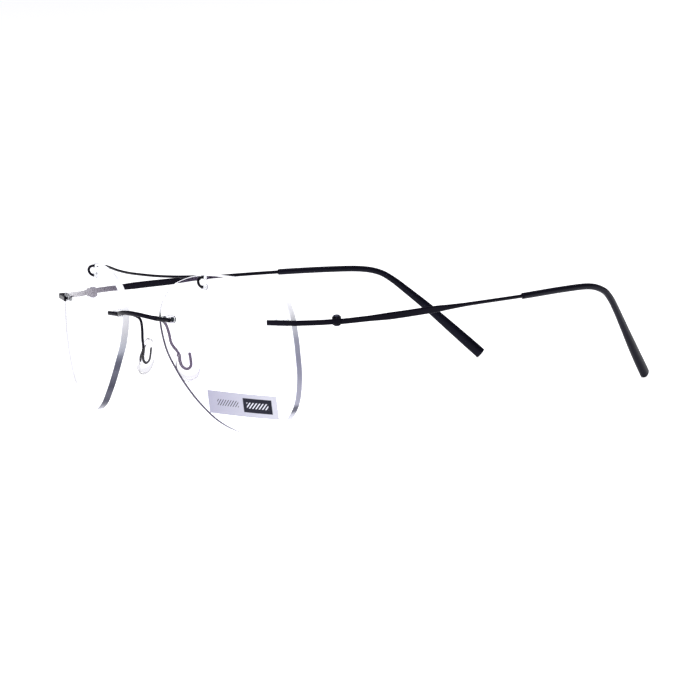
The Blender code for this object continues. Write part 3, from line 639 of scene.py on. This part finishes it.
# %% Lens numbers and where a lens lies
LENS_CENTRE = (39.5, -8.82, 25.37)
LENS_WRAP = radians(13.7)
LENS_TILT = radians(1.1)
FRONT_RADIUS = 137.0
LENS_THICKNESS = 2.2
LENS_OUTLINE = (
    (25.3, 0.0), (24.8, 6.0), (23.6, 12.0), (20.6, 16.9), (14.3, 19.6), (6.9, 21.1), (0.0, 21.7),
    (-7.1, 21.9), (-15.2, 21.0), (-24.2, 17.4), (-29.6, 9.9), (-27.7, 0.0), (-22.9, -7.3),
    (-17.9, -13.0), (-12.9, -17.5), (-7.0, -21.6), (0.5, -24.4), (8.2, -25.2), (16.4, -22.6),
    (22.6, -16.3), (25.1, -8.1),
)
OUTLINE_STEPS = 240
STEPS_TO_A_KNOT = 24
PIN_BEVEL = 0.22
RING_SHARES = (0.05, 0.15, 0.27, 0.4, 0.52, 0.64, 0.75, 0.85, 0.93, 1.0 - PIN_BEVEL / 25.0)


def sag(across, up):
    return FRONT_RADIUS - sqrt(FRONT_RADIUS**2 - across**2 - up**2)


def lens_frame(side):
    """From lens coordinates (toward +X, behind the apex, up) to the drawing."""
    x, y, z = LENS_CENTRE
    turn = Matrix.Rotation(side * LENS_WRAP, 4, "Z") @ Matrix.Rotation(LENS_TILT, 4, "X")
    return Matrix.Translation((side * x, y, z)) @ turn


def fitting_frame(side, spot):
    """From fitting coordinates (along the lens toward +X, inward, up) to the drawing."""
    across, up = side * spot[0], spot[1]
    inward = Vector((-across, sqrt(FRONT_RADIUS**2 - across**2 - up**2), -up)).normalized()
    along = inward.cross(Vector((0, 0, 1))).normalized()
    axes = Matrix((along, inward, along.cross(inward))).transposed().to_4x4()
    return lens_frame(side) @ Matrix.Translation((across, sag(across, up), up)) @ axes


def lens_outline(steps):
    """The pilot outline as evenly spread points of one closed smooth curve."""
    loop = [Vector((*p, 0.0)) for p in LENS_OUTLINE]
    dense = []
    for i in range(len(loop)):
        corner = [loop[(i + k) % len(loop)] for k in (-1, 0, 1, 2)]
        dense += [catmull_rom(*corner, step / STEPS_TO_A_KNOT) for step in range(STEPS_TO_A_KNOT)]
    dense.append(dense[0])
    run = np.cumsum([0.0] + [(b - a).length for a, b in zip(dense, dense[1:])])
    places = np.linspace(0.0, run[-1], steps, endpoint=False)
    return [(float(np.interp(s, run, [p.x for p in dense])),
             float(np.interp(s, run, [p.y for p in dense]))) for s in places]


# %% Fittings: where they sit on the lens, and their pins and holes
BRIDGE_SPOT = (-26.0, 8.0)
BRIDGE_PINS = (-1.9, 1.9)
END_SPOT = (20.0, 8.95)
END_PINS = (-1.5, 1.5)
HOOK_SPOT = (-9.4, 18.4)
HOOK_PINS = (0.0,)
PIN_RADIUS = 0.42
PIN_HOLE_RADIUS = 0.80
HOOK_HOLE_RADIUS = 0.66
WIRE_RADIUS = 0.40
NOTCH_FLOOR = 2.24
NOTCH_WIDTH = 1.30
FLANGE_GAP = 0.10
FLANGE_THICKNESS = 0.4
PIN_STAND_OUT = 0.12
LUG_LIFT = 0.95
DRILL_ENDS = (-2.0, 5.0)


def pin_rods(side, spot, offsets, radius, start, end, dome=0.0, sides=40):
    """Rods through the lens at a fitting, from one depth behind its front surface to another."""
    to_drawing = fitting_frame(side, spot)
    return [rod(to_drawing @ Vector((side * x, start, 0)), to_drawing @ Vector((side * x, end, 0)),
                radius, sides, dome) for x in offsets]


# %% Make the lenses
NOTCH_DEPTHS = (-3.0, 6.0)
NOTCH_TOP = 8.0
NOTCH_ROUNDING = 0.25
POLISHED = 0.9


def lens_ring(bm, outline, side, share, behind):
    """The outline at a share of its size, dropped on the sphere a distance behind the front."""
    ring = bmesh.ops.create_circle(bm, segments=len(outline), radius=1.0)["verts"]
    for vert, (x, z) in zip(ring, outline):
        vert.co = Vector((side * x * share, sag(x * share, z * share) + behind, z * share))
    return ring


def make_lens(word, side):
    bm = bmesh.new()
    outline = lens_outline(OUTLINE_STEPS)
    wall = (PIN_BEVEL, LENS_THICKNESS - PIN_BEVEL)
    rings = [lens_ring(bm, outline, side, share, 0.0) for share in RING_SHARES]
    rings += [lens_ring(bm, outline, side, 1.0, depth) for depth in wall]
    rings += [lens_ring(bm, outline, side, share, LENS_THICKNESS) for share in RING_SHARES[::-1]]
    loops = [ring_edges(ring) for ring in rings]
    middles = [bm.faces.new(ring) for ring in (rings[0], rings[-1])]
    for one, other in zip(loops, loops[1:]):
        bmesh.ops.bridge_loops(bm, edges=one + other)
    bmesh.ops.poke(bm, faces=middles)
    bmesh.ops.transform(bm, verts=bm.verts, matrix=lens_frame(side))
    lens = solid(bm)
    holes = pin_rods(side, BRIDGE_SPOT, BRIDGE_PINS, PIN_HOLE_RADIUS, *DRILL_ENDS)
    holes += pin_rods(side, END_SPOT, END_PINS, PIN_HOLE_RADIUS, *DRILL_ENDS)
    holes += pin_rods(side, HOOK_SPOT, HOOK_PINS, HOOK_HOLE_RADIUS, *DRILL_ENDS)
    half = NOTCH_WIDTH / 2
    holes.append(block((-half, NOTCH_DEPTHS[0], NOTCH_FLOOR), (half, NOTCH_DEPTHS[1], NOTCH_TOP),
                       fitting_frame(side, HOOK_SPOT), NOTCH_ROUNDING))
    boolean(lens, "DIFFERENCE", holes)
    finish(lens, f"{word}_lens_glazing", f"{word}_lens", [lens_clear, edge_painted_light[word]])
    axis = (lens_frame(side).to_3x3() @ Vector((0, 1, 0))).normalized()
    for face in lens.data.polygons:
        if abs(face.normal.dot(axis)) < POLISHED:
            face.material_index = 1


for word, side in SIDES:
    make_lens(word, side)

# %% [markdown]
# ## The bushings
#
# A bare pin would crack the lens, so a soft clear bushing lines each hole and ends in one flange
# behind the lens. The flange is a stadium shape: two half circles joined by straight sides. It is
# extruded from one face, its rims are rounded with a bevel, and the sleeves are fused to it
# before the bores are cut, so that the walls between them are clean. The brow bar's wire also
# has a short clear tube where it passes through the notch, which is a rod with a bore cut in it.

# %% Make the bushings
FLANGE_OVERLAP = 0.35
FLANGE_ROUNDING = 0.12
SLEEVE_PLAY = 0.05
SLEEVE_RECESS = 0.35
SLEEVE_ROOT = 0.3
BORE_PLAY = 0.06
ARC_STEPS = 20


def stadium_plate(to_drawing, reach, radius, front, back, rounding):
    bm = bmesh.new()
    arc = [-pi / 2 + pi * i / ARC_STEPS for i in range(ARC_STEPS + 1)]
    outline = [(reach + radius * cos(a), radius * sin(a)) for a in arc]
    outline += [(-x, -z) for x, z in outline]
    floor = bm.faces.new([bm.verts.new((x, front, z)) for x, z in outline])
    grown = bmesh.ops.extrude_face_region(bm, geom=[floor])["geom"]
    moved = [part for part in grown if isinstance(part, bmesh.types.BMVert)]
    bmesh.ops.translate(bm, verts=moved, vec=(0, back - front, 0))
    bmesh.ops.remove_doubles(bm, verts=bm.verts, dist=1e-4)
    bmesh.ops.recalc_face_normals(bm, faces=bm.faces)
    rims = [edge for edge in bm.edges if edge.calc_face_angle(0.0) > radians(60)]
    bmesh.ops.bevel(bm, geom=rims, offset=rounding, offset_type="OFFSET", segments=3, profile=0.5,
                    affect="EDGES", material=-1)
    bmesh.ops.transform(bm, verts=bm.verts, matrix=to_drawing)
    return solid(bm)


def make_bushing(word, side, place, spot, offsets, hole_radius, pin_radius):
    front = LENS_THICKNESS + FLANGE_GAP
    plate = stadium_plate(fitting_frame(side, spot), max(offsets), hole_radius + FLANGE_OVERLAP,
                          front, front + FLANGE_THICKNESS, FLANGE_ROUNDING)
    sleeves = pin_rods(side, spot, offsets, hole_radius - SLEEVE_PLAY, SLEEVE_RECESS,
                       front + SLEEVE_ROOT)
    boolean(plate, "UNION", sleeves)
    boolean(plate, "DIFFERENCE", pin_rods(side, spot, offsets, pin_radius + BORE_PLAY, *DRILL_ENDS))
    node = f"{word}_{place}_bushing"
    finish(plate, f"{node}_moulding", node, [nylon_clear])


for word, side in SIDES:
    make_bushing(word, side, "bridge", BRIDGE_SPOT, BRIDGE_PINS, PIN_HOLE_RADIUS, PIN_RADIUS)
    make_bushing(word, side, "end", END_SPOT, END_PINS, PIN_HOLE_RADIUS, PIN_RADIUS)
    make_bushing(word, side, "brow", HOOK_SPOT, HOOK_PINS, HOOK_HOLE_RADIUS, WIRE_RADIUS)

# %% Make the clear tubes in the notches
TUBE_RADIUS = 0.60
TUBE_ENDS = (0.4, 1.75)
TUBE_BORE_ENDS = (-1.0, 3.0)
WIRE_IN_NOTCH = 2.9


def notch_rod(side, ends, radius):
    """A rod along the wire in the notch, between two depths behind the front of the lens."""
    to_drawing = fitting_frame(side, HOOK_SPOT)
    return rod(*[to_drawing @ Vector((0, depth, WIRE_IN_NOTCH)) for depth in ends], radius)


for word, side in SIDES:
    tube = notch_rod(side, TUBE_ENDS, TUBE_RADIUS)
    boolean(tube, "DIFFERENCE", [notch_rod(side, TUBE_BORE_ENDS, WIRE_RADIUS + BORE_PLAY)])
    finish(tube, f"{word}_brow_sleeve_tube", f"{word}_brow_sleeve", [nylon_clear])

# %% [markdown]
# ## The nose bridge and the brow bar
#
# The lower bar is rolled wire with a slightly squared section. It crosses in front of both lenses,
# and a straight lug at each end carries two pins, which press through the bushings and end in a
# small dome behind. The upper bar is plain round wire. At each end it comes forward through a
# notch in the top of the lens and hooks back into its hole. Only the left half of each bar is
# drawn, and a helper adds the right half, so the joined route has no seam in the middle.

# %% Make the nose bridge
BRIDGE_ROUTE = ((0.0, -16.46, 34.87), (4.5, -16.06, 34.61), (8.2, -15.06, 34.06))
BRIDGE_LUG = (-3.4, -1.9, 1.9, 3.45)
BRIDGE_SECTION = (1.3, 0.95, 0.75)
BRIDGE_DOME = 0.32
PIN_DOME = 0.11
BAR_SPACING = 0.9
PIN_REACH = LENS_THICKNESS + FLANGE_GAP + FLANGE_THICKNESS + PIN_STAND_OUT


def lug_line(side, spot, places):
    """Points of a lug's centre line along the front of the lens, counted toward the temple."""
    to_drawing = fitting_frame(side, spot)
    return [to_drawing @ Vector((side * x, -LUG_LIFT, 0)) for x in places]


def lug_pins(side, spot, offsets):
    return pin_rods(side, spot, offsets, PIN_RADIUS, -LUG_LIFT, PIN_REACH, PIN_DOME, sides=28)


def both_halves(half):
    """A route right across the face, from its left half."""
    return [Vector((-p.x, p.y, p.z)) for p in reversed(half[1:])] + half


half = [Vector(p) for p in BRIDGE_ROUTE] + lug_line(1, BRIDGE_SPOT, BRIDGE_LUG)
route = smooth_route(both_halves(half), BAR_SPACING)
bm = bmesh.new()
skin(bm, with_domes(route, [BRIDGE_SECTION] * len(route), BRIDGE_DOME), sides=28)
bridge = solid(bm)
pins = [pin for _, side in SIDES for pin in lug_pins(side, BRIDGE_SPOT, BRIDGE_PINS)]
boolean(bridge, "UNION", pins)
finish(bridge, "nose_bridge_bar", "nose_bridge", [black_plating])

# %% Make the brow bar
BROW_DOME = 0.2
BROW_ROUTE = ((0.0, -11.3, 45.85), (8.0, -10.9, 45.85), (16.0, -9.6, 46.0), (23.0, -7.9, 46.28))
HOOK_ROUTE = (
    (-2.0, 3.3, 2.96), (-0.75, 3.12, 2.93), (-0.1, 2.55, WIRE_IN_NOTCH), (0.0, 1.9, WIRE_IN_NOTCH),
    (0.0, 0.0, WIRE_IN_NOTCH), (0.0, -1.15, 2.55), (0.0, -1.6, 1.7), (0.0, -1.25, 0.75),
    (0.0, -0.4, 0.1), (0.0, 0.6, 0.0), (0.0, 1.5, 0.0),
)

hook = [fitting_frame(1, HOOK_SPOT) @ Vector(p) for p in HOOK_ROUTE]
route = smooth_route(both_halves([Vector(p) for p in BROW_ROUTE] + hook), BAR_SPACING)
section = (2 * WIRE_RADIUS, 2 * WIRE_RADIUS, 1.0)
bm = bmesh.new()
skin(bm, with_domes(route, [section] * len(route), BROW_DOME), sides=24, upright=False)
finish(solid(bm), "brow_bar_wire", "brow_bar", [black_plating])

# %% [markdown]
# ## Pad arms and nose pads
#
# A pad arm is thin wire brazed to the back of the bridge. It drops beside the nose and ends in a
# loop, and the soft pad is pushed over the loop. The wire swells where the braze holds it. The pad
# is moulded silicone: an almond with a flat face toward the skin and a fuller back, where the
# pocket is. It starts as a sphere, because its poles then lie at the two ends of the almond, and
# a power below one swells the sphere toward a slab with a round rim. The soft pad pinches the
# wire, so the channel is a hair narrower than the wire and shows no gap.

# %% Pad numbers and the arm's route
PAD_CENTRE = (12.1, -3.85, 19.5)
PAD_FLARE = radians(-14.0)
PAD_SPLAY = radians(-15.0)
PAD_HALF_WIDTH = 3.6
PAD_HALF_LENGTH = 5.75
SKIN_SIDE = 1.15
BACK_SIDE = 1.33
PAD_TAPER = 0.16
PAD_FULLNESS = 0.72
ARM_RADIUS = 0.42
ARM_SPACING = 0.8
BRAZE_SWELL = 0.45
BRAZE_LENGTH = 1.6
ARM_DOME = 0.3
KNOTS_ABOVE_PAD = 4
PAD_PINCH = 0.02
ARM_START = (
    (7.6, -14.55, 34.0), (7.75, -12.4, 33.65), (7.8, -9.6, 32.75), (7.75, -7.9, 31.3),
    (8.25, -7.2, 28.4), (8.85, -6.9, 25.3),
)
ARM_LOOP_OFFSET = -0.3
ARM_LOOP = (
    (-2.15, 3.0), (-2.1, 0.6), (-1.6, -1.0), (-0.35, -1.8), (0.8, -1.05), (1.0, 0.6), (0.9, 3.0),
)


def pad_frame(side):
    x, y, z = PAD_CENTRE
    turn = Matrix.Rotation(side * PAD_SPLAY, 4, "Z") @ Matrix.Rotation(side * PAD_FLARE, 4, "Y")
    return Matrix.Translation((side * x, y, z)) @ turn


def arm_knots(side):
    loop = [pad_frame(side) @ Vector((side * ARM_LOOP_OFFSET, y, z)) for y, z in ARM_LOOP]
    return mirrored(ARM_START, side) + loop


# %% Make the pad arms
def make_pad_arm(word, side):
    route = smooth_route(arm_knots(side), ARM_SPACING)
    run = np.cumsum([0.0] + [(b - a).length for a, b in zip(route, route[1:])])
    swell = [1.0 + BRAZE_SWELL * max(0.0, 1.0 - s / BRAZE_LENGTH) ** 2 for s in run]
    sizes = [(2 * ARM_RADIUS * s, 2 * ARM_RADIUS * s, 1.0) for s in swell]
    bm = bmesh.new()
    skin(bm, with_domes(route, sizes, ARM_DOME), sides=20, upright=False)
    finish(solid(bm), f"{word}_pad_arm_wire", f"{word}_pad_arm", [black_plating])


for word, side in SIDES:
    make_pad_arm(word, side)


# %% Make the nose pads
def make_nose_pad(word, side):
    bm = bmesh.new()
    bmesh.ops.create_uvsphere(bm, u_segments=96, v_segments=48, radius=1.0)
    for vert in bm.verts:
        spread = max(1e-6, sqrt(vert.co.y**2 + vert.co.z**2)) ** (PAD_FULLNESS - 1)
        depth = abs(vert.co.x) ** PAD_FULLNESS * (SKIN_SIDE if vert.co.x * side < 0 else BACK_SIDE)
        across, up = vert.co.y * spread, vert.co.z * spread
        vert.co = Vector((np.sign(vert.co.x) * depth,
                          across * PAD_HALF_WIDTH * (1 - PAD_TAPER * up), up * PAD_HALF_LENGTH))
    bmesh.ops.transform(bm, verts=bm.verts, matrix=pad_frame(side))
    pad = solid(bm)
    route = smooth_route(arm_knots(side)[KNOTS_ABOVE_PAD:], ARM_SPACING)
    bm = bmesh.new()
    width = 2 * (ARM_RADIUS - PAD_PINCH)
    skin(bm, [(p, (width, width, 1.0)) for p in route], sides=20, upright=False)
    boolean(pad, "DIFFERENCE", [solid(bm)])
    finish(pad, f"{word}_nose_pad_silicone", f"{word}_nose_pad", [pad_silicone])


for word, side in SIDES:
    make_nose_pad(word, side)

# %% [markdown]
# ## End pieces and hinges
#
# The end piece starts as a flat lug on the front of the lens, turns the corner and runs back to
# the hinge. The hinge is three small knuckles on one upright screw, two on the end piece and one
# on the temple. Each knuckle is a disc with a rounded rim, tied to its bar by a small tab, and a
# Boolean makes them one piece of metal.

# %% Hinge numbers and knuckles
KNUCKLE_RADIUS = 1.36
MIDDLE_KNUCKLE = (-0.50, 0.50)
UPPER_KNUCKLE = (0.55, 1.30)
LOWER_KNUCKLE = (-1.30, -0.55)
SCREW_RADIUS = 0.50
SCREW_HOLE_RADIUS = 0.56
SCREW_HEAD_RADIUS = 1.0
SCREW_HEAD_HEIGHT = 0.45
SCREW_TAIL_RADIUS = 0.85
SCREW_TAIL_HEIGHT = 0.38
SCREW_RIM = 0.1
SCREW_CLEARANCE = 0.03
BAR_OFFSET = 1.86
BUTT_GAP = 0.08
HOLE_REACH = 3.0
OUTER_RIMS_BEYOND = 1.0
INNER_ROUNDING = 0.08
OUTER_ROUNDING = 0.38
TAB_START = 0.3
TAB_INSET = 0.02
TAB_ROUNDING = 0.06
TAB_DEPTHS = {"ahead": (-1.15, -0.12), "behind": (0.16, 1.25)}


def knuckle(side, low, high, place):
    """A knuckle disc, fuller at its outer rim, and the tab that ties it to the bar beside it."""
    x, y, z = HINGE_AXIS
    bm = bmesh.new()
    middle = Matrix.Translation((side * x, y, z + (low + high) / 2))
    bmesh.ops.create_cone(bm, cap_ends=True, segments=56, radius1=KNUCKLE_RADIUS,
                          radius2=KNUCKLE_RADIUS, depth=high - low, matrix=middle)
    for outside, rounding in ((False, INNER_ROUNDING), (True, OUTER_ROUNDING)):
        rim = [edge for edge in bm.edges if edge.calc_face_angle(0.0) > radians(60)
               and (abs(edge.verts[0].co.z - z) > OUTER_RIMS_BEYOND) == outside]
        if rim:
            bmesh.ops.bevel(bm, geom=rim, offset=rounding, offset_type="OFFSET", segments=5,
                            profile=0.5, affect="EDGES", material=-1)
    edges = sorted((side * (x + TAB_START), side * (x + BAR_OFFSET)))
    start, end = TAB_DEPTHS[place]
    tab = block((edges[0], y + start, z + low + TAB_INSET),
                (edges[1], y + end, z + high - TAB_INSET), rounding=TAB_ROUNDING)
    return [solid(bm), tab]


def screw_hole(side):
    x, y, z = HINGE_AXIS
    return rod((side * x, y, z - HOLE_REACH), (side * x, y, z + HOLE_REACH), SCREW_HOLE_RADIUS, 48)


# %% Make the end pieces
END_BAR_SECTION = (1.58, 0.8, 0.42)
END_BAR_LUG = (-3.5, 0.5, 3.6)
END_BAR_SPACING = 0.8
END_BAR_DOME = 0.16
END_BAR_ROUTE = (
    (64.9, -0.91, 34.42), (65.35, 1.14, 34.28), (65.9, 4.84, 34.02), (66.9, 8.24, 33.88),
    (68.1, 10.64, 33.91),
)


def make_end_piece(word, side):
    x, y, z = HINGE_AXIS
    knots = lug_line(side, END_SPOT, END_BAR_LUG)
    knots += mirrored((*END_BAR_ROUTE, (x + BAR_OFFSET, y - BUTT_GAP, z)), side)
    route = smooth_route(knots, END_BAR_SPACING)
    bm = bmesh.new()
    skin(bm, with_domes(route, [END_BAR_SECTION] * len(route), END_BAR_DOME, end=False), sides=40)
    piece = solid(bm)
    parts = lug_pins(side, END_SPOT, END_PINS)
    parts += knuckle(side, *UPPER_KNUCKLE, "ahead") + knuckle(side, *LOWER_KNUCKLE, "ahead")
    boolean(piece, "UNION", parts)
    boolean(piece, "DIFFERENCE", [screw_hole(side)])
    finish(piece, f"{word}_end_piece_bar", f"{word}_end_piece", [black_plating])


for word, side in SIDES:
    make_end_piece(word, side)

# %% [markdown]
# A screw is a turned part, so it is spun from the outline of its half section, which gives the
# domed head, the shank and the peened tail in one go. The driver slot is then cut across the head
# with a thin block.

# %% Make the hinge screws
SLOT_HALF_LENGTH = 2.0
SLOT_HALF_WIDTH = 0.14
SLOT_DEPTH = 0.22
DOME_STEPS = 8


def make_screw(word, side):
    """A turned screw, spun from its outline, with a slot across its head."""
    x, y, z = HINGE_AXIS
    seat = UPPER_KNUCKLE[1] + SCREW_CLEARANCE
    foot = LOWER_KNUCKLE[0] - SCREW_CLEARANCE
    turns = [pi / 2 * (1 - i / DOME_STEPS) for i in range(DOME_STEPS + 1)]
    head = [(SCREW_HEAD_RADIUS * cos(a),
             seat + SCREW_RIM + (SCREW_HEAD_HEIGHT - SCREW_RIM) * sin(a)) for a in turns]
    tail = [(SCREW_TAIL_RADIUS * cos(a),
             foot - SCREW_RIM - (SCREW_TAIL_HEIGHT - SCREW_RIM) * sin(a)) for a in reversed(turns)]
    shank = [(SCREW_HEAD_RADIUS, seat), (SCREW_RADIUS, seat), (SCREW_RADIUS, foot),
             (SCREW_TAIL_RADIUS, foot)]
    outline = head + shank + tail
    bm = bmesh.new()
    row = [bm.verts.new((r if r > 1e-6 else 0.0, 0.0, h)) for r, h in outline]
    profile = [bm.edges.new(pair) for pair in zip(row, row[1:])]
    bmesh.ops.spin(bm, geom=row + profile, cent=(0, 0, 0), axis=(0, 0, 1), angle=2 * pi, steps=48,
                   use_merge=True)
    bmesh.ops.remove_doubles(bm, verts=bm.verts, dist=1e-4)
    bmesh.ops.translate(bm, verts=bm.verts, vec=(side * x, y, z))
    screw = solid(bm)
    top = z + seat + SCREW_HEAD_HEIGHT
    slot = block((side * x - SLOT_HALF_LENGTH, y - SLOT_HALF_WIDTH, top - SLOT_DEPTH),
                 (side * x + SLOT_HALF_LENGTH, y + SLOT_HALF_WIDTH, top + 1.0))
    boolean(screw, "DIFFERENCE", [slot])
    finish(screw, f"{word}_hinge_screw_steel", f"{word}_hinge_screw", [blued_steel])


for word, side in SIDES:
    make_screw(word, side)

# %% [markdown]
# ## Temples and their tips
#
# A temple starts as a flat rolled blade and is drawn down to a round wire two thirds of the way
# back. The wire runs on inside a black sleeve, which is bent down behind the ear and swells
# toward its end. Both are skins over one curve, with the sizes read from short tables. Temples
# are bent by hand, so each has a small rise of its own in the blade and at the bend.

# %% Temple numbers and route
SLEEVE_START = 81.0
CORE_END = 137.0
CORE_RADIUS = 0.55
TEMPLE_SPACING = 1.2
TEMPLE_ROUTE = (
    (68.46, 12.32, 33.91), (68.9, 18.24, 33.92), (69.5, 30.24, 33.89), (69.6, 42.24, 33.91),
    (67.9, 62.24, 33.87), (64.8, 81.24, 33.53), (62.1, 98.24, 33.2), (60.2, 110.23, 32.55),
    (58.7, 116.72, 30.79), (57.0, 120.7, 28.06), (54.6, 124.77, 23.93), (50.8, 130.63, 17.49),
    (46.7, 137.37, 9.64), (42.6, 144.5, 1.41),
)
BLADE_RISE = {"left": -0.35, "right": 0.3}
TIP_RISE = {"left": 0.7, "right": -0.8}
BLADE_BULGE = (25.0, 25.0)
TIP_BEND = (110.0, 34.0)
BLADE_SIZES = (
    (12.0, 1.62, 0.76, 0.42), (22.0, 1.70, 0.76, 0.42), (29.0, 2.15, 0.76, 0.42),
    (40.0, 2.10, 0.76, 0.42), (47.0, 1.95, 0.77, 0.45), (51.5, 1.50, 0.93, 0.6),
    (57.5, 1.18, 1.10, 1.0), (64.0, 1.10, 1.10, 1.0), (81.0, 1.10, 1.10, 1.0),
)
SLEEVE_SIZES = (
    (81.0, 1.88, 1.76, 0.92), (84.0, 1.92, 1.78, 0.92), (110.0, 1.95, 1.82, 0.9),
    (117.0, 1.98, 1.84, 0.88), (120.0, 2.10, 1.86, 0.87), (126.0, 2.48, 1.93, 0.86),
    (132.0, 2.92, 2.20, 0.86), (136.0, 3.25, 2.53, 0.86), (141.0, 3.53, 2.74, 0.86),
    (143.9, 3.57, 2.76, 0.86),
)


def tent(y, middle, reach):
    """1 at the middle, falling straight to 0 at its reach on either side."""
    return max(0.0, 1.0 - abs(y - middle) / reach)


def temple_route(word, side):
    """The temple's centre line, with this side's own rise in the blade and at the tip's bend."""
    knots = []
    for x, y, z in TEMPLE_ROUTE:
        rise = BLADE_RISE[word] * tent(y, *BLADE_BULGE) + TIP_RISE[word] * tent(y, *TIP_BEND)
        knots.append(Vector((side * x, y, z + rise)))
    return smooth_route(knots, TEMPLE_SPACING)


def between(table, y):
    """Height, thickness and squareness at a distance y, read from a table."""
    stations = [row[0] for row in table]
    return tuple(float(np.interp(y, stations, column)) for column in list(zip(*table))[1:])


# %% Make the temples
def make_temple(word, side):
    route = [p for p in temple_route(word, side) if p.y <= CORE_END]
    stations = [(p, between(BLADE_SIZES, p.y)) for p in route]
    bm = bmesh.new()
    skin(bm, stations, sides=32)
    temple = solid(bm)
    boolean(temple, "UNION", knuckle(side, *MIDDLE_KNUCKLE, "behind"))
    boolean(temple, "DIFFERENCE", [screw_hole(side)])
    finish(temple, f"{word}_temple_blade", f"{word}_temple", [black_plating])


for word, side in SIDES:
    make_temple(word, side)

# %% Make the temple tips
SLEEVE_OVERRUN = 0.28
SLEEVE_DOME = 0.4
CORE_PLAY = 0.05
BORE_LEAD = 3.0
BORE_TAIL = 1.0


def make_temple_tip(word, side):
    route = [p for p in temple_route(word, side) if p.y >= SLEEVE_START - 0.01]
    route.append(route[-1] + (route[-1] - route[-2]).normalized() * SLEEVE_OVERRUN)
    sizes = [between(SLEEVE_SIZES, p.y) for p in route]
    bm = bmesh.new()
    skin(bm, with_domes(route, sizes, SLEEVE_DOME), sides=36)
    tip = solid(bm)
    inside = [p for p in temple_route(word, side)
              if SLEEVE_START - BORE_LEAD < p.y <= CORE_END + BORE_TAIL]
    bm = bmesh.new()
    width = 2 * (CORE_RADIUS + CORE_PLAY)
    skin(bm, [(p, (width, width, 1.0)) for p in inside], sides=28)
    boolean(tip, "DIFFERENCE", [solid(bm)])
    finish(tip, f"{word}_temple_tip_sleeve", f"{word}_temple_tip", [black_acetate])


for word, side in SIDES:
    make_temple_tip(word, side)

# %% [markdown]
# ## The film on the left lens
#
# The film is a sheet a few hundredths of a millimetre thick that clings to the curved front of
# the lens. A grid gives it enough points to follow the sphere, and each point keeps its share of
# the width and height as its UV before it is moved, which is what the printed pattern reads.

# %% Make the film
FILM_CORNERS = ((-9.3, -12.0), (17.1, -12.9), (16.9, -19.8), (-9.5, -18.9))
FILM_THICKNESS = 0.08
FILM_GAP = 0.03

bm = bmesh.new()
bmesh.ops.create_grid(bm, x_segments=48, y_segments=14, size=0.5)
layout = bm.loops.layers.uv.new("film")
grown = bmesh.ops.extrude_face_region(bm, geom=list(bm.faces))["geom"]
raised = {part for part in grown if isinstance(part, bmesh.types.BMVert)}
for face in bm.faces:
    for loop in face.loops:
        loop[layout].uv = (loop.vert.co.x + 0.5, loop.vert.co.y + 0.5)
corners = [Vector((*spot, 0.0)) for spot in FILM_CORNERS]
for vert in bm.verts:
    share, rise = vert.co.x + 0.5, vert.co.y + 0.5
    spot = corners[3].lerp(corners[2], share).lerp(corners[0].lerp(corners[1], share), rise)
    lift = FILM_GAP + (FILM_THICKNESS if vert in raised else 0.0)
    vert.co = lens_frame(1) @ Vector((spot.x, sag(spot.x, spot.y) - lift, spot.y))
finish(solid(bm), "demo_film_print", "demo_sticker", [printed_film])

# %% [markdown]
# ## Floor and light
#
# The spectacles stand on a plain pale table. Black gloss shows whatever surrounds it, so the
# surroundings matter more than the lamps: a bright table below lifts the undersides to grey, and
# a dim room above keeps the tops black. Two broad soft lights, one above and one in front, give
# the highlights. Rays that go straight from the camera, or through a lens, meet a near white
# room instead of the dim one, so the background stays bright.

# %% Floor
FLOOR_HALF_SIZE = 30.0
FLOOR_GLOW = 0.75

bm = bmesh.new()
bmesh.ops.create_grid(bm, x_segments=2, y_segments=2, size=FLOOR_HALF_SIZE)
floor = solid(bm, "floor")
floor_material, tree, shader = new_material("pale_table")
shader.inputs["Base Color"].default_value = (0.90, 0.90, 0.91, 1)
shader.inputs["Roughness"].default_value = 0.9
shader.inputs["Specular IOR Level"].default_value = 0.1
shader.inputs["Emission Color"].default_value = (1.0, 1.0, 1.0, 1)
shader.inputs["Emission Strength"].default_value = FLOOR_GLOW
floor.data.materials.append(floor_material)

# %% Lights and surroundings
def soft_light(name, place, aim, width, power):
    lamp = bpy.data.lights.new(name, "AREA")
    lamp.shape = "DISK"
    lamp.size = width
    lamp.energy = power
    holder = bpy.data.objects.new(name, lamp)
    holder.location = place
    holder.rotation_mode = "QUATERNION"
    holder.rotation_quaternion = (Vector(place) - Vector(aim)).to_track_quat("Z", "Y")
    bpy.context.scene.collection.objects.link(holder)


soft_light("overhead_softbox", (0.3, 0.1, 1.8), (0, 0, 0), 1.6, 22.0)
soft_light("front_softbox", (0.6, -1.8, 0.9), (0, 0, 0), 1.2, 14.0)

# %% The room around the table
DIM_ROOM = (0.20, 0.20, 0.23, 1)
BRIGHT_ROOM = (0.95, 0.95, 0.96, 1)

world = bpy.data.worlds.new("studio")
world.use_nodes = True
tree = world.node_tree
background = tree.nodes["Background"]
background.inputs["Strength"].default_value = 1.0
seen = tree.nodes.new("ShaderNodeLightPath")
straight = add_node(tree, "ShaderNodeMath", {"operation": "MAXIMUM"})
tree.links.new(seen.outputs["Is Camera Ray"], straight.inputs[0])
tree.links.new(seen.outputs["Is Transmission Ray"], straight.inputs[1])
room = add_node(tree, "ShaderNodeMix", {"data_type": "RGBA"})
room.inputs["A"].default_value = DIM_ROOM
room.inputs["B"].default_value = BRIGHT_ROOM
tree.links.new(straight.outputs[0], room.inputs["Factor"])
tree.links.new(room.outputs["Result"], background.inputs["Color"])
bpy.context.scene.world = world
bpy.context.scene.view_settings.view_transform = "Standard"
